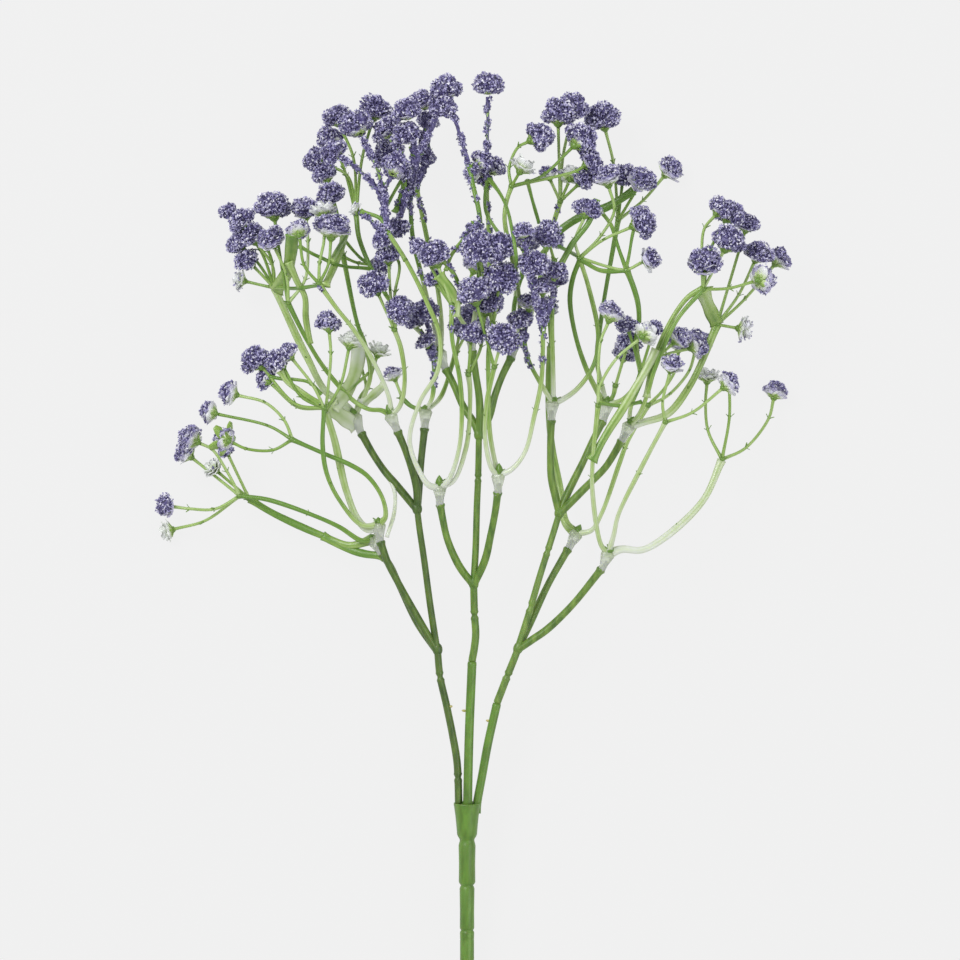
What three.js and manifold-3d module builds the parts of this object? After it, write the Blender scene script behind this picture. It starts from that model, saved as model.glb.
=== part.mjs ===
// Artificial gypsophila spray, lying on a surface. Millimetres, +Z up.
//
// Places are given in the drawing frame: +X to the right, +Y towards the flowers, +Z up from the surface,
// with the origin under the foot of the stem's cup. The last lines centre the finished spray on its box.
//
// A ringed stem flares into a cup. Three forked stalks plug into the cup, and each ends in five tips. A
// spray sits on each tip: a ferrule with a bud, two or three thin filaments that bow out of it, and the
// short flower stalks into which each filament forks. Each flower stalk carries one head.

import * as THREE from "three";
import { mergeVertices } from "three/addons/utils/BufferGeometryUtils.js";
import Module from "manifold-3d";

const wasm = await Module();
wasm.setup();

// Main stem
const STEM_RADIUS = 2.35;
const STEM_CUT_Y = -92; // the cut end
const STEM_SLOPE = 0.114; // the stem rises from its cut end to the cup
const STEM_SINK = 0.6; // depth of the flat on which the cut end rests
const STEM_SIDES = 8;
const SLEEVE_SIDES = 6;
const WIRE_RADIUS = 0.7;
const WIRE_TOP_Y = 4;

// Stalks and the sprays on their tips
const STALK_RADIUS = 1.25;
const TRUNK_TAPER = 0.15; // the upper trunk is thinner by this
const POINT_TAPER = 0.02; // and each trunk thins by this from point to point
const ARM_RADIUS = 1.15;
const SPIGOT_RADIUS = 0.65; // thinned end of a stalk inside a sleeve or a ferrule
const SPIGOT_LENGTH = 3;
const SHOULDER = 0.3; // length over which an arm thins to its spigot
const FERRULE_LENGTH = 6.5;
const BUD_RADIUS = 1.1;
const BUD_FOOT_RADIUS = 0.8;
const BUD_TIP_RADIUS = 0.2;
const ROOT_DEPTH = 1.2; // of the bud and the filaments in the ferrule
const FILAMENT_RADIUS = 0.7;
const BAND_RADIUS = 1.1; // the broad translucent filaments
const FLOWER_STALK_RADIUS = 0.5;
const COATED_RADIUS = 1.25; // a flower stalk with its coat of grains
const FORK_RADIUS = 0.9; // swelling of the bracts at a fork

// Heads
const HEAD_RADIUS = 5;
const PETALS = 5;

// Room between solids that touch on the real spray
const CLEARANCE = 0.3;
const FORK_GAP = 0.8; // from the end of a filament to the flower stalks into which it forks
const SMOOTHING = 0.03; // corners that stand out less than this from their neighbours are dropped

const STALK_SIDES = 5;
const FERRULE_SIDES = 6;
const FILAMENT_SIDES = 4;
const FLOWER_STALK_SIDES = 3;
const SPAN = 18; // longest straight piece of a curved stalk

const COLOURS = {
  stem: 0x5f8f3e,
  wire: 0x9a9a98,
  stalk: 0x5a8a3c,
  spray: 0x9abf6c,
  blossom: 0x5d5688,
};

// Solids

function solidOf(vertices, triangles) {
  return new wasm.Manifold(new wasm.Mesh({
    numProp: 3,
    vertProperties: new Float32Array(vertices),
    triVerts: new Uint32Array(triangles),
  }));
}

function solidOfGeometry(geometry) {
  const bare = geometry.clone();
  bare.deleteAttribute("normal");
  bare.deleteAttribute("uv");
  const merged = mergeVertices(bare);
  return solidOf(merged.attributes.position.array, merged.index.array);
}

const join = (solids) => wasm.Manifold.union(solids);

function largest(solid) {
  return solid.decompose().sort((a, b) => b.volume() - a.volume())[0];
}

function point([x, y, z]) {
  return new THREE.Vector3(x, y, z);
}

// Points along a smooth curve through the given ones, with a radius at each. The curve is split so that no
// straight piece is longer than SPAN.
function stations(points, radii) {
  const curve = new THREE.CatmullRomCurve3(points, false, "centripetal");
  const last = points.length - 1;
  const list = [];
  for (let i = 0; i < last; i += 1) {
    const pieces = Math.ceil(points[i].distanceTo(points[i + 1]) / SPAN);
    for (let k = 0; k < pieces; k += 1) {
      const along = k / pieces;
      list.push({
        at: curve.getPoint((i + along) / last),
        radius: THREE.MathUtils.lerp(radii[i], radii[i + 1], along),
      });
    }
  }
  list.push({ at: points[last].clone(), radius: radii[last] });
  return list;
}

// Skins a closed solid over a list of rings, each a list of corners with their angles round the axis. Rings
// may differ in their number of corners: the next triangle goes to whichever ring turns first. The first
// ring is closed flat, and the last one flat or on the point top.
function skin(rings, top = null) {
  const vertices = [];
  const triangles = [];
  const starts = rings.map(({ corners }) => {
    const first = vertices.length / 3;
    corners.forEach((corner) => vertices.push(corner.x, corner.y, corner.z));
    return first;
  });
  for (let r = 0; r < rings.length - 1; r += 1) {
    const [low, high] = [rings[r].angles, rings[r + 1].angles];
    const angleOf = (angles, i) => angles[i % angles.length] + 2 * Math.PI * Math.floor(i / angles.length);
    const lowAt = (i) => starts[r] + (i % low.length);
    const highAt = (j) => starts[r + 1] + (j % high.length);
    let i = 0;
    let j = 0;
    while (i < low.length || j < high.length) {
      const lowTurns = angleOf(low, i + 1) + angleOf(low, i) < angleOf(high, j + 1) + angleOf(high, j);
      if (j === high.length || (i < low.length && lowTurns)) {
        triangles.push(lowAt(i), lowAt(i + 1), highAt(j));
        i += 1;
      } else {
        triangles.push(lowAt(i), highAt(j + 1), highAt(j));
        j += 1;
      }
    }
  }
  for (let k = 1; k < rings[0].angles.length - 1; k += 1) triangles.push(starts[0], k + 1, k);
  const rim = starts[rings.length - 1];
  const sides = rings[rings.length - 1].angles.length;
  if (top) {
    vertices.push(top.x, top.y, top.z);
    for (let k = 0; k < sides; k += 1) {
      triangles.push(rim + k, rim + ((k + 1) % sides), vertices.length / 3 - 1);
    }
  } else {
    for (let k = 1; k < sides - 1; k += 1) triangles.push(rim, rim + k, rim + k + 1);
  }
  return solidOf(vertices, triangles);
}

// One corner ring round a centre. reach gives the radius at each corner.
function ringOf(centre, across, third, sides, turn, reach) {
  const angles = Array.from({ length: sides }, (_, k) => (2 * Math.PI * (k + turn)) / sides);
  const corners = angles.map((angle, k) => centre.clone()
    .addScaledVector(across, reach(k) * Math.cos(angle))
    .addScaledVector(third, reach(k) * Math.sin(angle)));
  return { corners, angles };
}

// The rings of a tube along the stations. Each is turned from the one before it by the bend of the route
// alone, so the tube never twists. grow makes it thicker and longer all round.
function tubeRings(list, sides, grow = 0) {
  const across = new THREE.Vector3(0, 0, 1);
  const last = list.length - 1;
  let way;
  let third;
  const rings = list.map(({ at, radius }, i) => {
    way = list[Math.min(i + 1, last)].at.clone().sub(list[Math.max(i - 1, 0)].at).normalize();
    if (i === 0 && Math.abs(way.z) > 0.9) across.set(1, 0, 0);
    across.addScaledVector(way, -across.dot(way)).normalize();
    third = way.clone().cross(across);
    const shift = i === 0 ? -grow : Number(i === last) * grow;
    const centre = at.clone().addScaledVector(way, shift);
    return ringOf(centre, across, third, sides, 0.5, () => radius + grow);
  });
  return { rings, way, across, third };
}

function tube(list, sides, grow = 0) {
  return skin(tubeRings(list, sides, grow).rings);
}

// Main stem. The rings of the moulding are short waists between straight lengths.

const stemHeight = (y) => STEM_RADIUS - STEM_SINK + STEM_SLOPE * (y - STEM_CUT_Y);

// Height along the stem and radius there, from the cut end to the rim of the cup
const STEM_PROFILE = [
  [-92, 2.35],
  [-76.4, 2.35], [-75.8, 2.1], [-75.2, 2.35],
  [-61.4, 2.35], [-60.8, 2.1], [-60.2, 2.35],
  [-46.4, 2.35], [-45.8, 2.1], [-45.2, 2.35],
  [-33.4, 2.35], [-30.9, 2.35], [-30.3, 2.1], [-29.7, 2.4],
  [-15.9, 2.45], [-15.2, 2.1], [-14.5, 2.8],
  [-1.3, 2.85], [0, 2.5], [1.7, 3.3],
  [8, 3.9], [12.3, 4.5],
];

// The two sleeves of the cup, each with the radius at its lip
const SLEEVES = [
  { route: [[0.2, 9, 14.2], [0.2, 12, 15], [0.7, 35, 17.4], [1.7, 59.7, 20.2]], radius: 1.5 },
  { route: [[3, 9, 12.8], [3.3, 12, 13], [5, 21.3, 14.2], [7, 32.3, 15.6], [10, 45.7, 17.4]], radius: 1.35 },
];

function makeMainStem(grow = 0) {
  const shaft = STEM_PROFILE.map(([y, radius]) => ({ at: point([0, y, stemHeight(y)]), radius }));
  const pieces = [tube(shaft, STEM_SIDES, grow)];
  for (const { route, radius } of SLEEVES) {
    pieces.push(tube(route.map((place) => ({ at: point(place), radius })), SLEEVE_SIDES, grow));
  }
  return join(pieces);
}

function makeWire(grow = 0) {
  const ends = [STEM_CUT_Y - grow, WIRE_TOP_Y].map((y) => ({
    at: point([0, y, stemHeight(y)]),
    radius: WIRE_RADIUS,
  }));
  return tube(ends, SLEEVE_SIDES, grow);
}

// Stalks. Each trunk and arm is a route of points; an arm starts inside the trunk or arm that it leaves.
// The first point of foot is inside the cup or its sleeve, where the stalk is as thin as a spigot.

const STALKS = {
  left: {
    foot: [[-2.8, 4, 12.9], [-2.8, 11.9, 13.8]],
    trunks: [
      [[-2.8, 12.6, 13.9], [-3.3, 25.7, 15.3], [-4.8, 35, 16.4], [-6.9, 45.3, 17.5], [-9, 54.7, 18.6],
        [-9.9, 64.3, 19.8]],
      [[-9.9, 63, 19.7], [-12.3, 78.7, 21], [-14.3, 93.7, 22.2], [-16, 105.3, 23], [-16.7, 111.3, 23.4]],
    ],
    arms: [
      [[-9.9, 63, 19.6], [-16.7, 73, 18.5], [-22.8, 85.6, 17.5], [-25.5, 91.3, 17.2], [-28.7, 96, 17]],
      [[-9.9, 63, 19.6], [-16, 73.5, 21.8], [-22.9, 86, 23.6], [-26.4, 92.8, 24.4], [-29, 100.2, 25]],
      [[-16.6, 110.3, 23.3], [-23.8, 119, 22.3], [-27.5, 123.3, 21.6], [-31.6, 129.4, 20.7],
        [-35.5, 136.4, 20]],
      [[-16.6, 110.3, 23.3], [-16.8, 117.7, 25], [-20.3, 129.7, 28.4], [-23.3, 137, 30]],
      [[-16.6, 110.3, 23.3], [-15.5, 124.7, 23.4], [-14.1, 138, 24]],
    ],
  },
  middle: {
    foot: [[1.4, 51, 19.2], [1.7, 59.9, 20.2]],
    trunks: [
      [[1.75, 60.4, 20.3], [2.4, 64, 20.8], [2.9, 69, 21.6], [2.5, 75.3, 22.6], [2.2, 86.3, 25]],
      [[2.2, 85.2, 24.9], [2.9, 97.7, 25.6], [3.3, 111.7, 26.4], [3.7, 121, 27], [4, 136, 28]],
    ],
    arms: [
      [[2.2, 85.2, 25], [-2.6, 91.7, 26.8], [-6.4, 100.2, 29], [-8, 107, 31], [-9, 112.7, 33]],
      [[2.2, 85.2, 25], [6, 93.7, 27.4], [7.8, 101.5, 30], [9.4, 109.8, 33], [10.3, 116.7, 36]],
      [[4, 135, 28], [2.7, 138.7, 27.4], [-1.3, 145, 26], [-4.5, 152.3, 24.8], [-7.3, 157.7, 24]],
      [[4, 135, 28], [4.3, 141.3, 29], [4, 148.3, 30.4], [3, 155, 31.6], [1.7, 163.7, 33]],
      [[4, 135, 28], [7.3, 141.3, 27.6], [9.3, 148.5, 27], [11.8, 155.2, 26.4], [15, 161.7, 26]],
    ],
  },
  right: {
    foot: [[7.8, 36.5, 16.1], [10, 45.8, 17.4]],
    trunks: [
      [[10.2, 46.4, 17.5], [11.7, 50.3, 18], [13.5, 55, 18.6], [16, 61.3, 19.6], [17.3, 64.7, 20]],
      [[16.8, 63.6, 19.9], [20.7, 76, 20.8], [24.3, 88.3, 21.4], [29, 103.3, 22.2], [31, 110, 22.5]],
    ],
    arms: [
      [[16.8, 63.6, 19.9], [21.5, 73.6, 18.4], [27, 85.3, 16.6], [31.7, 93.7, 15.4], [34, 97.7, 15]],
      [[16.8, 63.6, 19.9], [21.7, 67, 21.5], [26.8, 70.6, 23], [35.1, 78.7, 26], [45, 91, 30.4]],
      [[30.8, 109, 22.5], [29.5, 114.7, 23.2], [28.1, 121.3, 24.2], [27.8, 130, 25.6], [28.1, 140.7, 27.4]],
      [[30.8, 109, 22.5], [33, 114.7, 21.6], [38.7, 126.3, 19.2], [41.3, 132, 18.2], [45.5, 140.3, 17]],
      [[30.8, 109, 22.5], [38, 116.3, 24.6], [42, 120.3, 26], [46.2, 124.7, 27.8], [51.7, 133.7, 31]],
    ],
  },
};

// The tip of an arm and the way it points
function armTip(route) {
  const end = point(route[route.length - 1]);
  const way = end.clone().sub(point(route[route.length - 2])).normalize();
  return { end, way };
}

function makeStalk({ foot, trunks, arms }, grow = 0) {
  const [lower, upper] = trunks.map((route, i) => route.map((place, k) => ({
    at: point(place),
    radius: STALK_RADIUS - TRUNK_TAPER * i - POINT_TAPER * k,
  })));
  const thin = foot.map((place) => ({ at: point(place), radius: SPIGOT_RADIUS }));
  const pieces = [tube([...thin, ...lower], STALK_SIDES, grow), tube(upper, STALK_SIDES, grow)];
  for (const route of arms) {
    const { end, way } = armTip(route);
    const arm = [
      ...route.map((place) => ({ at: point(place), radius: ARM_RADIUS })),
      { at: end.clone().addScaledVector(way, SHOULDER), radius: SPIGOT_RADIUS },
      { at: end.clone().addScaledVector(way, SPIGOT_LENGTH), radius: SPIGOT_RADIUS },
    ];
    pieces.push(tube(arm, STALK_SIDES, grow));
  }
  return join(pieces);
}

// Sprays. Each filament has a route from the ferrule to its fork, and a list of flower stalks. A flower
// stalk is the points that it passes after the fork; the last one is the centre of its head, with a fourth
// number where the head's radius isn't HEAD_RADIUS. The stalks of a coated filament carry grains.

const SPRAYS = [
  {
    name: "spray_left_1", stalk: "left", arm: 0, bud: [-32.5, 102.3, 17.5],
    filaments: [
      { radius: BAND_RADIUS,
        route: [[-39, 98.5, 15.5], [-47.3, 101.3, 13.5], [-58.3, 106, 12], [-66.3, 110, 12],
          [-72.7, 114, 13]],
        heads: [[[-80.5, 130, 12, 2.8]], [[-84.9, 124.5, 17, 3.8]]] },
      { route: [[-35, 100, 19], [-42.7, 104.7, 20], [-50.7, 108.3, 20], [-66.3, 113.7, 18],
          [-75.7, 115, 17]],
        heads: [
          [[-84, 110.7, 15], [-92.7, 110.7, 11], [-100.7, 111.7, 9, 3.8]],
          [[-87.7, 106.7, 9], [-100.6, 103.2, 3.4, 4]],
          [[-80, 123, 20], [-85, 130.5, 21], [-92.1, 134.1, 20, 4.8]],
          [[-93.9, 129.3, 15, 4.3]]] },
    ],
  },
  {
    name: "spray_left_2", stalk: "left", arm: 1, bud: [-29.6, 108, 27],
    filaments: [
      { route: [[-27.2, 108, 28.5], [-27.5, 112.3, 30], [-29.5, 117, 31], [-33.5, 122, 31],
          [-38.7, 125.3, 31], [-47.3, 129, 30], [-58, 133.7, 29]],
        heads: [
          [[-60.7, 140, 30], [-67, 146, 29.5], [-78.7, 149.2, 27, 4]],
          [[-66, 138.3, 27], [-85.6, 142.9, 24, 3.8]],
          [[-64.7, 130.3, 28], [-73.3, 130.7, 29], [-80.7, 133.9, 29, 3.8]]] },
      { radius: BAND_RADIUS,
        route: [[-33, 104, 24.5], [-36.3, 107, 24], [-40.3, 117, 25], [-44.3, 134.3, 28.5], [-47, 143, 30]],
        heads: [[[-45.3, 162, 33], [-46, 172.5, 33, 4.5]], [[-42, 152.3, 31], [-38.7, 166.7, 30, 4.4]]] },
      { route: [[-35, 105.3, 27], [-42.7, 114, 30.5], [-46.7, 122.7, 33], [-48, 132, 35], [-47.5, 144, 37]],
        heads: [
          [[-56.7, 145.5, 37], [-70.3, 160, 35, 5.2]],
          [[-55, 148, 38.5], [-62.4, 160, 38, 4.6]],
          [[-51, 151.5, 40], [-59.4, 162.4, 41, 3.8]],
          [[-56, 144.5, 35.5], [-67, 153.9, 33, 3.7]]] },
    ],
  },
  {
    name: "spray_left_3", stalk: "left", arm: 2, bud: [-38.7, 144.5, 20],
    filaments: [
      { radius: BAND_RADIUS,
        route: [[-41, 145.5, 18], [-47.3, 150, 15.5], [-53.3, 161, 13], [-56, 166.3, 12.5],
          [-64.3, 184.3, 13.5]],
        heads: [
          [[-76.2, 187.3, 11, 3.8]],
          [[-73.3, 193.8, 14, 4.5]],
          [[-70, 193, 13], [-76.6, 199.2, 13, 4.1]],
          [[-69, 197, 16], [-79.7, 209.9, 16, 3.2]],
          [[-66, 196, 18], [-75, 206.7, 20, 4.6]],
          [[-65, 192, 17], [-72.2, 202, 19, 5.2]]] },
      { route: [[-34.5, 148, 17], [-32.3, 155.7, 14], [-34, 165.3, 13], [-36.7, 172.7, 14],
          [-41.3, 194.7, 17]],
        heads: [
          [[-42, 203, 18], [-45.6, 215.4, 19, 4.7]],
          [[-43, 208, 14], [-47.3, 222.7, 12, 4.4]],
          [[-37, 193, 17], [-29, 191.7, 19, 3.6]]] },
      { route: [[-36, 147, 16], [-33.5, 151, 11.5]],
        heads: [[[-29.4, 164.1, 8, 4.3]], [[-38, 168, 7, 4.2]]] },
    ],
  },
  {
    name: "spray_left_4", stalk: "left", arm: 3, bud: [-26.7, 145.5, 32],
    filaments: [
      { route: [[-26, 148, 33.5], [-32.7, 162.7, 37], [-38.7, 171.7, 39], [-43, 177, 39.5],
          [-49, 185.3, 39]],
        heads: [
          [[-49, 192, 39.5], [-47.5, 200, 38], [-47.8, 210.3, 36, 4.6]],
          [[-46, 192, 40], [-44.8, 204, 39, 5.8]],
          [[-54, 191.5, 40], [-56, 203.2, 40, 3.8]]] },
      { route: [[-22.3, 145, 33.5], [-20.7, 153.3, 36.5], [-22, 164.3, 40], [-24, 170, 41]],
        heads: [
          [[-22.3, 176.9, 44]],
          [[-30.8, 185.1, 41, 5.2]],
          [[-25.5, 183, 38.5], [-26.1, 194.9, 40, 4.5]],
          [[-24, 182, 38], [-22.5, 192, 37], [-27.9, 200.1, 45, 3.8]]] },
      { route: [[-28.5, 143.5, 29], [-32.7, 143.9, 26.5], [-38, 146.9, 24.5], [-47.3, 157.3, 24],
          [-53, 166.3, 25], [-59.5, 179, 27]],
        heads: [
          [[-61.5, 190, 27], [-64.7, 211, 24, 6]],
          [[-60, 188, 29], [-65, 200.3, 31, 4.8]],
          [[-54, 187, 27], [-53, 199, 25], [-53.9, 210.3, 22, 4.8]]] },
    ],
  },
  {
    name: "spray_left_5", stalk: "left", arm: 4, bud: [-14, 145.5, 25],
    filaments: [
      { route: [[-18.7, 145, 22.5], [-21.5, 147.5, 21]],
        heads: [[[-24.6, 155.3, 19, 3.3]]] },
      { coated: true,
        route: [[-11.7, 147.5, 26], [-11, 153.3, 26.5], [-11, 160.3, 27]],
        heads: [[[-13.7, 166.2, 29, 3.2]], [[-14, 176.3, 32, 4.8]], [[-16.7, 173.3, 27, 3.9]]] },
      { route: [[-11, 145.5, 23], [-8.3, 149, 19], [-4, 162, 12]],
        heads: [[[-2.2, 171, 9, 4.1]], [[2, 174, 8, 5.8]]] },
    ],
  },
  {
    name: "spray_middle_1", stalk: "middle", arm: 0, bud: [-9.2, 122, 35.5],
    filaments: [
      { coated: true,
        route: [[-12.5, 118.5, 37], [-15, 121.7, 38], [-19, 133, 41], [-15.7, 146, 45], [-9.7, 156.5, 48.5],
          [-9, 168, 49.5], [-13.3, 179.3, 50], [-20, 192.7, 49], [-26, 202, 47.5]],
        heads: [
          [[-37.3, 210.3, 44, 2.6]],
          [[-27, 217.3, 43, 4], [-23.7, 224, 40, 5.5]],
          [[-30, 217, 40], [-38, 225, 34], [-44.3, 229.3, 28, 4.6]],
          [[-29.3, 222, 38], [-36.7, 238.2, 27, 5.8]]] },
      { route: [[-6, 120.5, 37], [-2.7, 130.3, 41.5], [-1.7, 141, 45], [-2.3, 153.3, 49.5], [-5, 168, 53],
          [-5, 178, 54]],
        heads: [[[-10.6, 194.4, 54, 5.6]], [[-15.5, 197.3, 51, 3.5]], [[-11, 186.7, 48.5, 3.5]]] },
      { route: [[-4.5, 120, 36], [-0.5, 130.3, 39.5], [0.7, 138, 41.5], [1, 150.7, 44.5], [0.5, 155, 45.5]],
        heads: [[[1.5, 168.8, 48, 4.8]], [[4.5, 164, 44], [6.4, 178.8, 43, 6]]] },
    ],
  },
  {
    name: "spray_middle_2", stalk: "middle", arm: 1, bud: [10.7, 126, 38.5],
    filaments: [
      { route: [[8.3, 124, 39.5], [6, 134.7, 43], [6.7, 146.7, 46.5], [9, 157.5, 49.5]],
        heads: [[[11.7, 167, 52, 6]], [[2.3, 182, 54, 5.7]]] },
      { route: [[9.5, 125.5, 37], [7.6, 136, 39], [7.2, 148.7, 40.5], [7.2, 162.7, 42], [8.5, 172, 43.5]],
        heads: [
          [[11.1, 187.2, 49, 6]],
          [[3.8, 197, 53, 6]],
          [[12, 186, 44], [9.9, 196.7, 50, 6]],
          [[4, 190, 43], [2.2, 204.1, 46, 2.6]]] },
      { coated: true,
        route: [[15, 124, 38.5], [19.3, 129.7, 39], [22.3, 141.3, 39.8], [24.7, 153.3, 41],
          [25.3, 170.3, 44]],
        heads: [
          [[25, 184, 47, 3.8]],
          [[22.5, 183, 48], [22.3, 191.4, 51, 5.6]],
          [[28, 180, 45], [29.3, 189.3, 44, 4.4]],
          [[21, 188, 50], [18.4, 202.4, 53, 3.7]]] },
    ],
  },
  {
    name: "spray_middle_3", stalk: "middle", arm: 2, bud: [-10, 165.5, 24],
    filaments: [
      { route: [[-14, 168, 25], [-20, 174, 26], [-27, 182, 26], [-35.7, 200, 23], [-37, 208.7, 21]],
        heads: [
          [[-41, 224, 12], [-45.6, 235, 3.4, 4.8]],
          [[-40, 222, 14], [-50.9, 227.7, 11, 4.3]],
          [[-38, 228, 14], [-43.7, 241.6, 12, 4.8]],
          [[-35, 228, 16], [-30.6, 244, 16, 5.6]]] },
      { coated: true,
        route: [[-11, 172, 24], [-15, 188, 24], [-18, 200.7, 25], [-19, 213.7, 27]],
        heads: [
          [[-20, 217, 30], [-22.9, 204.8, 34, 4]],
          [[-18, 228, 29], [-20, 235, 29]],
          [[-17.5, 226, 29], [-14, 236, 27], [-14.7, 246.4, 24, 4.8]],
          [[-17, 228, 30], [-20.2, 242.8, 33]],
          [[-16, 228, 30], [-8.4, 244.7, 30]],
          [[-22, 228, 28], [-27.2, 236.7, 25, 4.8]]] },
      { coated: true,
        route: [[-8.5, 170, 20], [-9.5, 182, 16], [-11.7, 193, 14], [-16.7, 217, 13]],
        heads: [
          [[-15, 228.3, 12, 4.3]],
          [[-26.3, 229.3, 12, 5.5]],
          [[-13, 230, 13], [-13.3, 240, 15, 3.9]]] },
    ],
  },
  {
    name: "spray_middle_4", stalk: "middle", arm: 3, bud: [1, 171.5, 35],
    filaments: [
      { coated: true,
        route: [[2.5, 174, 36.5], [3.8, 186, 38], [4.3, 207, 38.5], [1.7, 219.7, 37], [1, 224, 36.3]],
        heads: [[[-7, 250.3, 29, 5.4]], [[5, 226.3, 33, 4]]] },
      { coated: true,
        route: [[4.8, 172.5, 33], [6.8, 182, 30], [7.5, 195, 28], [6.5, 217, 29]],
        heads: [[[8.8, 224.3, 26, 4.2]], [[3, 222, 24, 4.3]], [[6.7, 228, 29], [7.1, 251.7, 24, 5.1]]] },
      { route: [[-1.5, 173, 31], [-4, 178, 22], [-3, 180, 15]],
        heads: [[[3, 191.8, 9, 4.3]]] },
    ],
  },
  {
    name: "spray_middle_5", stalk: "middle", arm: 4, bud: [17, 169.5, 27],
    filaments: [
      { route: [[17.5, 173, 31], [17, 184, 35], [12.5, 207, 38.5], [13.2, 213, 38], [14.7, 217.7, 37]],
        heads: [
          [[14, 224, 36], [17, 231, 34.5], [23.7, 234.6, 33, 5.5]],
          [[18.8, 224.8, 42, 4.8]],
          [[24.7, 221.3, 36], [38, 233.7, 31, 6]],
          [[36, 223, 33], [41.2, 226, 30, 4.4]]] },
      { route: [[20, 172, 25], [23.5, 184, 23], [26, 196, 22.5], [31, 213, 25]],
        heads: [
          [[27, 222, 27, 3.2]],
          [[35, 222, 26, 4]],
          [[38.8, 220.4, 27, 4.2]],
          [[30.3, 242.2, 26, 5.8]],
          [[32, 228, 23], [35.5, 244.3, 22, 5.6]]] },
      { route: [[15.5, 172, 22], [16, 180, 16], [18, 188, 12]],
        heads: [[[19.3, 200.3, 9, 4.8]], [[28.7, 200.9, 11, 3.9]]] },
    ],
  },
  {
    name: "spray_right_1", stalk: "right", arm: 0, bud: [38, 105.5, 15],
    filaments: [
      { radius: BAND_RADIUS,
        route: [[33, 106, 13], [31, 118, 9.5], [28, 135, 9], [27.5, 155, 12], [28, 165, 13]],
        heads: [[[27, 178, 13, 4]], [[29.3, 187.4, 15, 4.6]]] },
      { route: [[41.5, 103.5, 16.5], [45, 109.3, 18], [51, 126.3, 20], [53.5, 133, 20], [60.3, 145, 18.5]],
        heads: [
          [[67, 148.5, 17], [74, 156.5, 17], [77.2, 166.5, 19, 4.6]],
          [[66, 151, 16], [70, 158, 15], [71, 166.3, 15, 4.8]]] },
    ],
  },
  {
    name: "spray_right_2", stalk: "right", arm: 1, bud: [48.3, 99, 32.5],
    filaments: [
      { route: [[44.5, 99, 34], [41.7, 116.3, 39], [41.7, 125.7, 41], [43.5, 144.7, 43]],
        heads: [
          [[44, 151, 44], [49.5, 160.5, 45.5], [59.4, 169, 46, 4.5]],
          [[44.3, 166, 42], [48, 175.5, 42, 4.6]]] },
      { route: [[48.8, 102, 35], [50.3, 108.7, 37], [57, 122.7, 40.5], [65.7, 139.3, 43]],
        heads: [[[74.7, 142.7, 41.5], [86.9, 152.3, 37, 4.3]], [[64.9, 146, 45], [67.8, 158.2, 47, 3.9]]] },
      { radius: BAND_RADIUS,
        route: [[51.5, 97.3, 31], [58, 97, 30], [65.3, 100.8, 28], [78.7, 113.5, 23.5], [85, 127, 21]],
        heads: [
          [[80.5, 136.7, 18], [79.7, 146, 15], [80.4, 155.6, 13, 4.6]],
          [[87.5, 141, 22], [87.5, 153.5, 24, 3]],
          [[93, 131, 16], [101, 141, 8], [103.3, 149.8, 3.8, 4.2]]] },
    ],
  },
  {
    name: "spray_right_3", stalk: "right", arm: 2, bud: [29, 149, 28.5],
    filaments: [
      { coated: true,
        route: [[26, 150, 31], [20.5, 160, 34.5], [19, 166, 35.5]],
        heads: [[[21, 179, 39, 4]], [[17.8, 173.3, 36.5, 4.2]]] },
      { route: [[28.8, 151.5, 29.5], [28.3, 170.3, 31], [29, 193, 35]],
        heads: [[[26.6, 201.6, 42, 4.8]]] },
      { route: [[31.5, 147, 27.5], [37, 151, 26.5], [42.3, 159, 26.5], [43.7, 168.7, 27], [40.7, 183.7, 30],
          [37.5, 194, 32]],
        heads: [
          [[36, 200, 34], [40.1, 210.3, 36, 4.6]],
          [[44.3, 201.3, 33], [49, 210, 33], [46.5, 221, 33]],
          [[45, 200, 35], [57.9, 205.9, 36, 5.6]],
          [[52.7, 190.3, 33], [60.7, 193.8, 33, 4]]] },
    ],
  },
  {
    name: "spray_right_4", stalk: "right", arm: 3, bud: [47.2, 148.5, 17],
    filaments: [
      { route: [[48.8, 148.5, 16.5], [49.5, 151.5, 16.3]],
        heads: [[[52.7, 162.5, 13, 4.1]], [[53.7, 165.7, 21, 4.2]]] },
      { route: [[51.5, 147, 19], [56, 151.5, 20.5], [58, 156.5, 21.5]],
        heads: [[[62.4, 170.8, 26, 3]], [[53.3, 171.7, 30, 3.7]]] },
      { route: [[45.5, 150.5, 14], [43.5, 160, 11], [45, 175, 9.5], [50.5, 207, 10]],
        heads: [
          [[52.2, 221.8, 13, 4.6]],
          [[58.5, 220.4, 18, 4.8]],
          [[59, 214, 7], [67.9, 224.3, 3.4, 4.8]],
          [[49, 226, 11], [45.3, 241.2, 14, 6]]] },
    ],
  },
  {
    name: "spray_right_5", stalk: "right", arm: 4, bud: [55.5, 141.5, 33],
    filaments: [
      { route: [[57.2, 142, 35], [60.3, 150, 37.5], [62, 156.3, 39], [67.7, 169.8, 41], [71, 175.3, 41],
          [78.3, 183.5, 40]],
        heads: [
          [[79, 192.4, 43, 6]],
          [[78, 196, 37], [79, 204, 34], [84.3, 210.5, 31, 4.3]],
          [[81, 197, 35], [87.7, 208.7, 27, 5.2]],
          [[87, 184, 40], [98.3, 187.1, 37, 4.6]],
          [[87.1, 199.6, 36, 5.8]]] },
      { radius: BAND_RADIUS,
        route: [[58.5, 139.5, 31], [67, 142.5, 28], [73.8, 151, 25], [77.5, 158, 24], [83.3, 172, 24]],
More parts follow.
